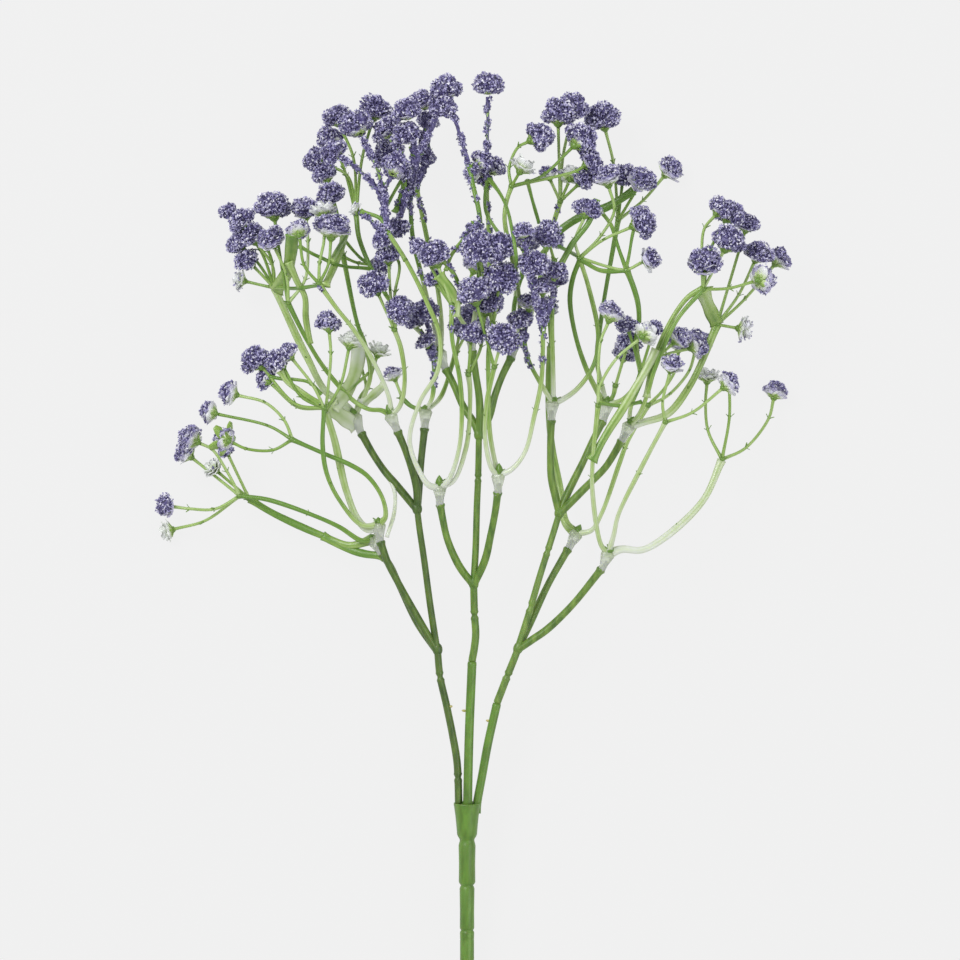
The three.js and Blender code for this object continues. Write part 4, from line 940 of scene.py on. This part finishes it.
def grains(places, tones):
    """Irregular six-sided crumbs at places: stretched unevenly and turned by random rotations, which are the
    orthogonal factors of random matrices."""
    count = len(places)
    stretch = draw.uniform(*GRAIN_SIZE, (count, 1)) * draw.uniform(*GRAIN_SHAPES, (count, 3))
    turns = np.linalg.qr(draw.normal(size=(count, 3, 3)))[0]
    turns *= np.sign(np.linalg.det(turns))[:, None, None]
    corners = GRAIN_CORNERS * stretch[:, None] * draw.uniform(0.7, 1.3, (count, 5, 1))
    points = places[:, None] + corners @ np.swapaxes(turns, 1, 2)
    faces = GRAIN_FACES + 5 * np.arange(count)[:, None, None]
    return (points.reshape(-1, 3), np.empty((0, 4), int), faces.reshape(-1, 3), np.repeat(tones, 5))


def grain_tones(count):
    """Tones of grains, from a beta distribution: deep purple to near white, the middle ones a little more
    common."""
    return draw.beta(1.1, 1.25, count)


def grain_coat(path, per_mm, spread):
    """Grains on a stalk, out to the depth of the coat, in clumps about 2 mm apart. Spread is how far in mm a
    grain lies from its clump's middle along the stalk, on average, and in radians round it."""
    length = np.linalg.norm(np.diff(path, axis=0), axis=1).sum()
    count, clumps = int(per_mm * length), max(2, int(length / 2))
    clump = draw.integers(0, clumps, count)
    last = len(path) - 1
    at = draw.uniform(0, last, clumps)[clump] + spread * last / length * draw.normal(size=count)
    at = np.clip(at, 0, last - 0.001)
    low = at.astype(int)
    middle = path[low] + (at - low)[:, None] * (path[low + 1] - path[low])
    way = unit(path[low + 1] - path[low])
    angle = draw.uniform(0, 2 * np.pi, clumps)[clump] + 1.2 * spread * draw.normal(size=count)
    first = unit(np.cross(way, UP + 0.01))
    out = np.cos(angle)[:, None] * first + np.sin(angle)[:, None] * np.cross(way, first)
    reach = COAT_FOOT + COAT_DEPTH * draw.uniform(0, 1, count) ** 1.5
    return grains(middle + reach[:, None] * out, grain_tones(count))


def crust(path):
    """Crust of packed grains round a coated stalk: a tube that thickens and thins every two or three mm, and
    whose points each wander in and out."""
    along = np.linspace(0, 1, len(path))
    knots = max(3, len(path) // 3)
    thick = CRUST_RADIUS * np.interp(along, np.linspace(0, 1, knots), draw.uniform(0.7, 1.6, knots))
    rows = sweep(path, thick, thick, 9)
    wander = 1 + 0.22 * draw.normal(size=rows.shape[:2])
    rows = path[:, None] + (rows - path[:, None]) * np.clip(wander, 0.6, 1.5)[..., None]
    return skin(rows, draw.uniform(0.0, 0.4, rows.shape[:2])[None])


def lumps_of():
    """Lumps of a head, as middles and radii in shares of its packed mass: some round its waist and the rest
    nearer its top, each a little out of place. The axis of the head is the third coordinate."""
    rise = np.concatenate([draw.uniform(-0.35, 0.3, WAIST_LUMPS), draw.uniform(0.55, 0.95, TOP_LUMPS)])
    turn = np.concatenate([2 * np.pi * (np.arange(count) + draw.uniform(0, loose, count)) / count
                           for count, loose in ((WAIST_LUMPS, 0.6), (TOP_LUMPS, 0.8))])
    side = np.sqrt(1 - rise**2)
    ways = np.stack([side * np.cos(turn), side * np.sin(turn), rise], axis=-1)
    return draw.uniform(0.50, 0.60, (len(rise), 1)) * ways, draw.uniform(0.38, 0.52, len(rise))


def packed_mass(flower, axis, lumps, low, turn, scale):
    """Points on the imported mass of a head, at angles low up from its foot and turn round its axis, times
    scale, and how far out they are. The mass is what balls at the lumps cover, seen from its middle: along a
    direction d it reaches d.c + sqrt(r^2 - |c|^2 + (d.c)^2), of the ball of middle c and radius r that
    reaches furthest."""
    middles, radii = lumps
    ways = np.stack([np.sin(low) * np.cos(turn), np.sin(low) * np.sin(turn), -np.cos(low)], axis=-1)
    along = ways @ middles.T
    inside = radii**2 - (middles**2).sum(axis=1) + along**2
    reach = np.where((inside > 0) & (along > 0), along + np.sqrt(np.maximum(inside, 0)), 0).max(axis=-1)
    reach = np.maximum(reach, CREASE)
    first, second = square_to(axis)
    across = MASS_WIDTH * (ways[..., :1] * first + ways[..., 1:2] * second)
    ways = across + MASS_HEIGHT * ways[..., 2:] * axis
    places = np.array(flower.head) + flower.radius * (MASS_MIDDLE * axis + (scale * reach)[..., None] * ways)
    return places, reach


def packed_middle(flower, axis, lumps):
    """Closed surface just inside the grains of a head, where petals and glue fill the space between them.
    Between the grains it is dark purple, partly for deeper grains and partly painted shade in the gaps, made
    darker still in the creases as painted shade, and it is near white below the line that the glue reached."""
    low, turn = np.meshgrid(np.linspace(0.05, 0.95, 12) * np.pi, 2 * np.pi * np.arange(18) / 18,
                            indexing="ij")
    scale = 0.84 - 0.2 * flower.bare + 0.04 * draw.normal(size=low.shape)
    places, reach = packed_mass(flower, axis, lumps, low, turn, scale)
    # Dark purple between the grains, partly painted shade in the gaps, scaled by reach so the creases get
    # darker painted shade.
    tone = np.where(np.cos(low) > 1 - 2 * flower.bare, 0.9, draw.uniform(0.0, 0.35, low.shape) * reach)
    return skin(places, tone[None])


def packed_grains(flower, axis, lumps):
    """Grains all over a head above the line that the glue reached, a little in and out of its surface. Those
    deep in a crease or set further in get darker tones, and those far out lighter ones: painted shade."""
    count = int(GRAINS * (flower.radius / USUAL_RADIUS) ** 2 * (1 - flower.bare))
    low = np.arccos(draw.uniform(-1, 1 - 2 * max(flower.bare, 0.04), count))
    scale = draw.uniform(0.88, 1.02, count)
    places, reach = packed_mass(flower, axis, lumps, low, draw.uniform(0, 2 * np.pi, count), scale)
    # Painted shade: tones fall with a grain's depth in a crease and how far in it is set, and rise towards
    # the outside.
    depth = (reach - CREASE) / (1.05 - CREASE) + 4 * (scale - 0.95)
    return grains(places, np.clip(grain_tones(count) + 0.32 * (depth - 0.45), 0, 1))


def loose_grains(flower, blades):
    """Grains on the petals of a bare head, more of them towards the tips."""
    count = int(LOOSE_GRAINS * (flower.radius / USUAL_RADIUS) ** 2 * (1 - flower.bare))
    pick = draw.integers(0, len(blades[0]), count)
    chosen = [values[pick] for values in blades]
    u = draw.uniform(0.3, 1.02, count) ** 0.6
    v = draw.uniform(-1, 1, count)
    lift = draw.normal(0.1, 0.2, count)
    return grains(on_blade(*chosen, RUFFLE, u, v, lift), grain_tones(count))


def petals_of(flower, axis):
    """Blades of a head, in arrays: roots, ways, faces, lengths, widths and bends."""
    parts = []
    full = flower.bare < FULL
    layers = 1 if full else BARE_LAYERS if flower.bare > BARE else len(PETAL_LAYERS)
    for count, height, lean, bend, length, width in PETAL_LAYERS[:layers]:
        angle = 2 * np.pi * (np.arange(count) + draw.uniform()) / count + draw.normal(0, 0.12, count)
        out = frame_round(axis, angle)
        lean = lean + draw.normal(0, 0.08, count)[:, None]
        along = axis * np.cos(lean) + out * np.sin(lean)
        face = out * np.cos(lean) - axis * np.sin(lean)
        root = np.array(flower.head) + flower.radius * (height * axis + 0.1 * out)
        size = flower.radius * draw.uniform(0.88, 1.04, count) * (HIDDEN if full else 1)
        parts.append((root, along, face, length * size, width * size, bend + draw.normal(0, 0.1, count)))
    return [np.concatenate(values) for values in zip(*parts)]


def petal_surface(flower, blades):
    """Petals of a head. Their tone is 0 at the green root, 0.35 where they are milky, and up to 1 near the
    tips, where dust of the grains covers them."""
    rows = blade_rows(*blades, ruffle=RUFFLE, thick=HALF_PETAL)
    dust = (1 - flower.bare) * (1.1 * BLADE_SHARES - 0.35 + 0.2 * draw.normal(size=(len(rows), 1, 1)))
    tone = 0.3 * np.clip((BLADE_SHARES - 0.15) / 0.5, 0, 1) + 0.65 * np.clip(dust, 0, 1)
    return skin(rows, np.clip(tone, 0, 1))


def calyx_surfaces(flower, axis):
    """Calyx: a small cup that swells from the flower stalk, and five sepals that rise from its rim."""
    foot = np.array(flower.head) - HEAD_FOOT * flower.radius * axis
    along = np.array([-0.04, 0.02, 0.12, 0.26, 0.36])[:, None] * flower.radius
    swell = np.array([0.1, 0.16, 0.26, 0.28, 0.16]) * flower.radius
    cup = skin(sweep(foot + along * axis, swell, swell, 12), 0.8)
    angle = 2 * np.pi * (np.arange(5) + draw.uniform()) / 5
    out = frame_round(axis, angle)
    way = unit(0.8 * axis + 0.75 * out)
    face = unit(out - (out * way).sum(axis=1, keepdims=True) * way)
    root = foot + flower.radius * (0.12 * axis + 0.16 * out)
    ones = flower.radius * np.ones(5)
    length = flower.leafy * (0.34 if flower.bare < FULL else 0.55)
    sepals = blade_rows(root, way, face, length * ones, 0.17 * flower.leafy * ones, np.full(5, 0.5))
    return [cup, skin(sepals, 0.55)]


def purple_grain():
    """Crumbs of dyed plastic: deep purple with lilac and near white among them, each one even in colour,
    and shiny enough to catch the light on a face here and there."""
    material, shader = new_material("dyed_plastic_grain", "#8580a6", 0.36, IOR=1.5)
    tone = add_node(material, "Attribute", attribute_name="tone").outputs["Fac"]
    tint = add_ramp(material, tone, [
        (0.0, "#302a4c"), (0.25, "#5b5484"), (0.5, "#8b85b4"), (0.72, "#b8b3d8"), (0.92, "#d3d0e4"),
        (1.0, "#efedf6")])
    feed(material, tint, shader, "Base Color")
    return material


def milky_petal():
    """Thin polyethylene petal: yellow-green at its root, milky and translucent beyond, and covered by the
    dust of the grains, in patches, where its tone is high."""
    material, shader = new_material("milky_pe_petal", "#e4e6e4", 0.34, Subsurface_Weight=0.4,
                                    Subsurface_Scale=0.0006, Subsurface_Radius=(1.0, 1.0, 1.0), IOR=1.51)
    place = add_node(material, "TexCoord").outputs["Object"]
    tint = add_ramp(material, clouded_tone(material, place, cloud=0.9, detail=3.0), [
        (0.12, "#9dbf58"), (0.28, "#cbdca6"), (0.42, "#e2e6de"), (0.55, "#e6e7ea"), (0.75, "#b7b2ce"),
        (0.98, "#7f79a3")])
    feed(material, tint, shader, "Base Color")
    return material


clumps = {}
for name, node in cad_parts.items():
    if name.startswith("blossoms"):
        corners = np.empty(3 * len(node.data.vertices))
        node.data.vertices.foreach_get("co", corners)
        clumps[name] = corners.reshape(-1, 3)


def clump_at(place):
    """CAD node of heads that has the corner nearest to a place."""
    place = np.array(place) * MM + ORIGIN
    return min(clumps, key=lambda name: np.linalg.norm(clumps[name] - place, axis=1).min())


grain_material = purple_grain()
petal_material = milky_petal()
for spray in SPRAYS:
    tip, bud = np.array(spray.tip, float), np.array(spray.bud, float)
    bud_length = np.linalg.norm(bud - tip)
    way = (bud - tip) / bud_length
    neck = neck_surface(tip, way)
    buds = bud_surfaces(tip, way, bud_length)
    filaments, stalks, calyxes, petals, coats, nodes = [], [], [], [], [], set()
    start = tip + (NECK_LENGTH - ROOT_DEPTH) * way
    for filament in spray.filaments:
        path, surface = filament_surface(filament, [start])
        filaments.append(surface)
        fork = path[-1]
        fork_way = unit(path[-1] - path[-3])
        stalks.append(bead(fork - 0.8 * fork_way, fork + 1.4 * fork_way, 1.25 * FORK_RADIUS, 0.8))
        stalks.append(bracts(fork, fork_way, *FORK_BRACTS))
        if len(path) > LONG_FILAMENT:
            middle = int(len(path) * draw.uniform(0.45, 0.7))
            stalks.append(bracts(path[middle], unit(path[middle + 1] - path[middle]), *FILAMENT_BRACTS))
        if filament.grains:
            bare = int((1 - filament.grains) * len(path))
            coats.append(grain_coat(path[bare:], FILAMENT_GRAINS_PER_MM, 0.5))
        for flower in filament.flowers:
            head = np.array(flower.head, float)
            before = np.array(flower.past[-1] if flower.past else fork, float)
            axis = unit(head - before)
            foot = head - HEAD_FOOT * flower.radius * axis
            stalk = curve([fork + 0.2 * fork_way, *flower.past, foot], 0.8)
            along = np.linspace(0, 1, len(stalk))
            swell = 1 + 0.45 * np.exp(-along / 0.1) + 0.2 * np.exp(-(1 - along) / 0.06)
            thick = FLOWER_STALK_RADIUS * swell
            stalks.append(skin(sweep(stalk, thick, 0.9 * thick, 8), 0.2 + 0.55 * draw.uniform()))
            for past in flower.past:
                nearest = int(np.argmin(np.linalg.norm(stalk - past, axis=1)))
                nearest = min(max(nearest, 1), len(stalk) - 2)
                stalk_way = unit(stalk[nearest + 1] - stalk[nearest - 1])
                stalks.append(bracts(stalk[nearest], stalk_way, *FLOWER_STALK_BRACTS))
            tilt = draw.normal(0.15, 0.3) if flower.tilt is None else flower.tilt
            axis = unit(axis + tilt * UP)
            if flower.bare >= FULL or not filament.coated:
                calyxes.extend(calyx_surfaces(flower, axis))
            blades = petals_of(flower, axis)
            petals.append(petal_surface(flower, blades))
            if flower.bare < BARE:
                lumps = lumps_of()
                coats.append(packed_middle(flower, axis, lumps))
                coats.append(packed_grains(flower, axis, lumps))
            elif flower.bare < 1:
                coats.append(loose_grains(flower, blades))
            if filament.coated:
                coats.append(crust(stalk))
                coats.append(grain_coat(stalk, GRAINS_PER_MM, 0.7))
            nodes.add(clump_at(flower.head))
    make_piece(f"neck_{spray.name}", [neck], neck_material)
    make_piece(f"bud_{spray.name}", buds, leaf_material)
    make_piece(f"filaments_{spray.name}", filaments, filament_material, [f"spray_{spray.name}"])
    make_piece(f"flower_stalks_{spray.name}", stalks, leaf_material)
    if calyxes:
        make_piece(f"calyxes_{spray.name}", calyxes, leaf_material)
    make_piece(f"petals_{spray.name}", petals, petal_material)
    make_piece(f"grains_{spray.name}", coats, grain_material, sorted(nodes), smooth=False)

# Side shoots
# Thin shoots and flat webs of the same polyethylene as the filaments. Each runs from one filament, stalk or
# head to another, and a few in the middle carry grains.
SIDE_SHOOTS = {
    "right": [
        Filament([(45.7, 145.7, 15.4), (43.3, 150.3, 17.1), (40, 157, 19.5), (36.3, 168, 23.3),
                  (34.3, 180.3, 27.4), (35.3, 187.7, 29.8), (37.7, 194, 32)], wide=0.75, tones=(0.45, 0.9)),
        Filament([(53, 190.7, 33), (55.7, 183.7, 30.6), (57, 178.7, 28.9), (57.3, 173, 27),
                  (56.3, 165.3, 24.5), (58, 156.3, 21.5)], wide=0.8, tones=(0.8, 0.75)),
        Filament([(78.3, 183.3, 40), (80, 179, 33.9), (83.3, 172.3, 24)], wide=2.1, tones=(0.5, 0.6)),
        Filament([(59.7, 147.7, 36.8), (61, 156.3, 37.5), (64, 165, 38.3), (69, 175.3, 39.2),
                  (73.7, 181.3, 39.8), (78.3, 184, 40.3)], wide=0.8, tones=(0.3, 0.7)),
        Filament([(25.3, 198.3, 11.3), (31.3, 204, 12.3), (38.7, 208.7, 13.4), (47, 211.7, 14.5),
                  (55.7, 217, 15.8)], wide=1.3, tones=(0.9, 1.0)),
        Filament([(30.7, 191, 34.6), (33, 195.3, 34.9), (35.3, 199.3, 35.1), (40.3, 205.7, 35.6),
                  (43.3, 213.7, 36)], wide=0.9, tones=(0.8, 0.9)),
        Filament([(41.3, 126.7, 41.2), (47, 136.7, 40.8), (51.3, 143.3, 40.6), (55.3, 150, 40.4),
                  (59.7, 157.3, 40.1), (63, 163.7, 39.9)], wide=1.25, tones=(0.75, 0.45)),
        Filament([(20, 220, 36.5), (21.7, 213.7, 30.8), (24, 206, 23.9)], wide=0.55, tones=(0.8, 0.9)),
        Filament([(44.3, 210, 33), (48, 205, 33), (50, 198.7, 33), (52, 193, 33), (53, 190.3, 33)],
                 wide=0.6, tones=(0.75, 0.85)),
        Filament([(56, 205.7, 35.9), (55, 201.7, 35.1), (54, 195.7, 34), (53, 190.7, 33)], wide=0.5,
                 tones=(0.85, 0.85)),
        Filament([(38, 193.7, 32), (43.7, 190.3, 32.4), (48.3, 189.7, 32.7), (52.7, 190, 33)], wide=0.7,
                 tones=(0.8, 0.85)),
        Filament([(29.7, 199, 11.1), (33.7, 196.7, 22.6), (37, 194.7, 32.2)], wide=0.6, tones=(0.85, 0.85)),
        Filament([(43.7, 146, 43.2), (51, 145, 39.7), (58, 146.3, 36.4)], wide=0.6, tones=(0.7, 0.8)),
    ],
    "left": [
        Filament([(-64, 183.7, 13.5), (-60, 189.7, 23.3), (-58.7, 195.3, 31.3), (-58, 201.7, 40)], wide=1.9,
                 tones=(0.5, 0.75)),
        Filament([(-59.3, 193, 29.7), (-56.7, 186.7, 28.6), (-54, 181.3, 27.6), (-53.7, 174.3, 26.4),
                  (-52.3, 165.7, 24.9)], wide=0.95, tones=(0.6, 0.5)),
        Filament([(-36, 164.7, 7.8), (-37.3, 156.3, 16.2), (-40.3, 149.7, 23.4), (-44.7, 144.3, 30.2)],
                 wide=2.1, tones=(0.1, 0.3)),
        Filament([(-45.7, 144.7, 30.2), (-41.3, 141.3, 24.7), (-37, 138.3, 19.5)], wide=2.4,
                 tones=(0.35, 0.2)),
        Filament([(-25.3, 120.3, 22), (-24, 115.3, 23), (-24.3, 109.3, 24.1), (-26.7, 101.3, 25.6)],
                 wide=0.6, tones=(0.0, 0.05)),
        Filament([(-28, 95, 17), (-34.3, 95.7, 16), (-40.7, 97.7, 14.8), (-48.3, 101.7, 13.4)], wide=1.2,
                 tones=(0.8, 0.85)),
        Filament([(-45, 193, 39.9), (-42.3, 198.3, 30), (-40.3, 202, 23.1), (-40.3, 205, 18.1)], wide=0.8,
                 tones=(0.6, 0.8)),
        Filament([(-47, 185, 39.1), (-44.7, 190.3, 32.7), (-42.3, 196.3, 25.6), (-40.7, 203, 18)], wide=1.1,
                 tones=(0.5, 0.7)),
        Filament([(-55.7, 198, 40), (-51.3, 195.5, 36.9), (-48, 194, 34.7), (-44.2, 192.3, 32.2),
                  (-39.7, 191.3, 29.3), (-35, 191, 26.5), (-32, 190.7, 24.6)], wide=0.55, tones=(0.8, 0.9)),
        Filament([(-42.3, 202.3, 15.4), (-38, 197, 16.7), (-35, 194, 17.6), (-32.7, 192.7, 18.1)], wide=0.5,
                 tones=(0.8, 0.8)),
        Filament([(-64.7, 184.8, 13.5), (-57, 184.2, 26.2), (-49.3, 185, 39)], wide=0.6, tones=(0.7, 0.85)),
        Filament([(-62, 156.7, 38.1), (-60, 153.3, 38), (-55.7, 150, 37.9), (-49, 145.7, 37.8)], wide=0.9,
                 tones=(0.4, 0.6)),
        Filament([(-65.7, 154.7, 35.7), (-61.7, 154, 36.3), (-57, 153.7, 37.1), (-52.3, 152.7, 37.8),
                  (-48.3, 148.7, 38.6)], wide=0.55, tones=(0.95, 0.85)),
        Filament([(-35, 145.7, 17.5), (-31.7, 148.3, 25.2), (-27.7, 151.7, 34.5)], wide=1.3,
                 tones=(0.1, 0.35)),
        Filament([(-39.8, 149.3, 24.4), (-37, 152.3, 19.9), (-33, 156, 14)], wide=0.5, tones=(0.6, 0.7)),
    ],
    "middle": [
        Filament([(2.3, 205.7, 46), (-1.3, 200, 48.9), (-5, 195, 51.6), (-7, 189.7, 54)], wide=0.6,
                 tones=(0.8, 0.8), grains=1.0),
        Filament([(-8, 193, 54), (-4, 188, 52), (-1.3, 181, 47)], wide=0.6, tones=(0.8, 0.9), grains=1.0),
        Filament([(-9.3, 188.3, 54), (-6, 184, 53.9), (-3.7, 179.3, 53.8), (-4, 174.3, 53.6)], wide=1.5,
                 tones=(0.75, 0.5)),
        Filament([(-23.7, 209.3, 32.5), (-22.3, 213.7, 31.1), (-21, 218.3, 29.6), (-21.7, 224.3, 27.7)],
                 wide=0.9, tones=(0.8, 0.9), grains=1.0),
        Filament([(-35.3, 209.3, 44.6), (-28.7, 207, 46), (-25.7, 201.3, 47.2), (-22.7, 197, 48.1),
                  (-20.3, 193, 49)], wide=0.65, tones=(0.85, 0.9)),
        Filament([(-28.7, 207, 44.8), (-26.3, 212, 38.8), (-23.7, 217, 32.6), (-21.3, 221, 27.5)],
                 wide=0.55, tones=(0.85, 0.9)),
        Filament([(7, 221, 29), (10.7, 216, 36), (13.2, 210.7, 44), (14.9, 203.3, 53), (16.2, 195, 55),
                  (16.3, 188.7, 46), (16.2, 182, 18)], wide=0.55, tones=(0.9, 0.75)),
        Filament([(7, 221, 29), (6, 215.3, 31.6), (6.3, 209.3, 34.3), (8.3, 205.7, 36.2),
                  (10.3, 202.7, 37.9)], wide=0.5, tones=(0.85, 0.85)),
    ],
}

for side, shoots in SIDE_SHOOTS.items():
    surfaces, specks = [], []
    for shoot in shoots:
        path, surface = filament_surface(shoot, [])
        surfaces.append(surface)
        if shoot.grains:
            specks.append(grain_coat(path, FILAMENT_GRAINS_PER_MM, 0.5))
    make_piece(f"side_shoots_{side}", surfaces, filament_material)
    if specks:
        make_piece(f"grains_on_side_shoots_{side}", specks, grain_material, smooth=False)

# Table, light and camera
# A plain pale table top that glows by itself, painted light that washes out the spray's shadows, with two
# softboxes above it and soft light from all round.
# The camera looks straight down on the spray.
TABLE_GAP = 0.0002  # below what lies on it
FRAME_WIDTH = 0.320  # of the picture, at the height of the middle of the spray
PICTURE_MIDDLE = (4.33, 120.33, 25.0)  # in the drawing frame
CAMERA_HEIGHT = 4.0
SENSOR = 36.0

bpy.ops.mesh.primitive_plane_add(size=8.0, location=(0, 0, -TABLE_GAP))
table = bpy.context.object
table.name = "table_top"
# The table top glows by itself: painted light, which washes out the shadows that the spray would cast on it.
glowing_table, glowing_table_shader = new_material("painted_glow_table", "#303030", 0.9, Specular_IOR_Level=0.1)
glowing_table_shader.inputs["Emission Color"].default_value = colour("#efefef")
glowing_table_shader.inputs["Emission Strength"].default_value = 0.97
table.data.materials.append(glowing_table)

world = bpy.data.worlds.new("studio")
world.use_nodes = True
world.node_tree.nodes["Background"].inputs["Color"].default_value = colour("#f4f6f8")
world.node_tree.nodes["Background"].inputs["Strength"].default_value = 0.55
bpy.context.scene.world = world


def softbox(name, place, target, size, power):
    """Square area light at a place, turned towards a target."""
    light = bpy.data.lights.new(name, "AREA")
    light.shape = "SQUARE"
    light.size = size
    light.energy = power
    lamp = bpy.data.objects.new(name, light)
    bpy.context.scene.collection.objects.link(lamp)
    lamp.location = place
    way = Vector(target) - Vector(place)
    lamp.rotation_euler = way.to_track_quat("-Z", "Y").to_euler()


middle = np.array(PICTURE_MIDDLE) * MM + ORIGIN
softbox("key_softbox", (-1.1, 1.0, 1.9), middle, 1.2, 34.0)
softbox("fill_softbox", (1.5, -0.4, 1.6), middle, 1.6, 14.0)

camera = bpy.data.cameras.new("camera")
camera.sensor_width = SENSOR
camera.lens = SENSOR * (CAMERA_HEIGHT - middle[2]) / FRAME_WIDTH
camera.clip_end = 20.0
eye = bpy.data.objects.new("camera", camera)
bpy.context.scene.collection.objects.link(eye)
eye.location = (middle[0], middle[1], CAMERA_HEIGHT)
bpy.context.scene.camera = eye
bpy.context.scene.view_settings.view_transform = "Standard"
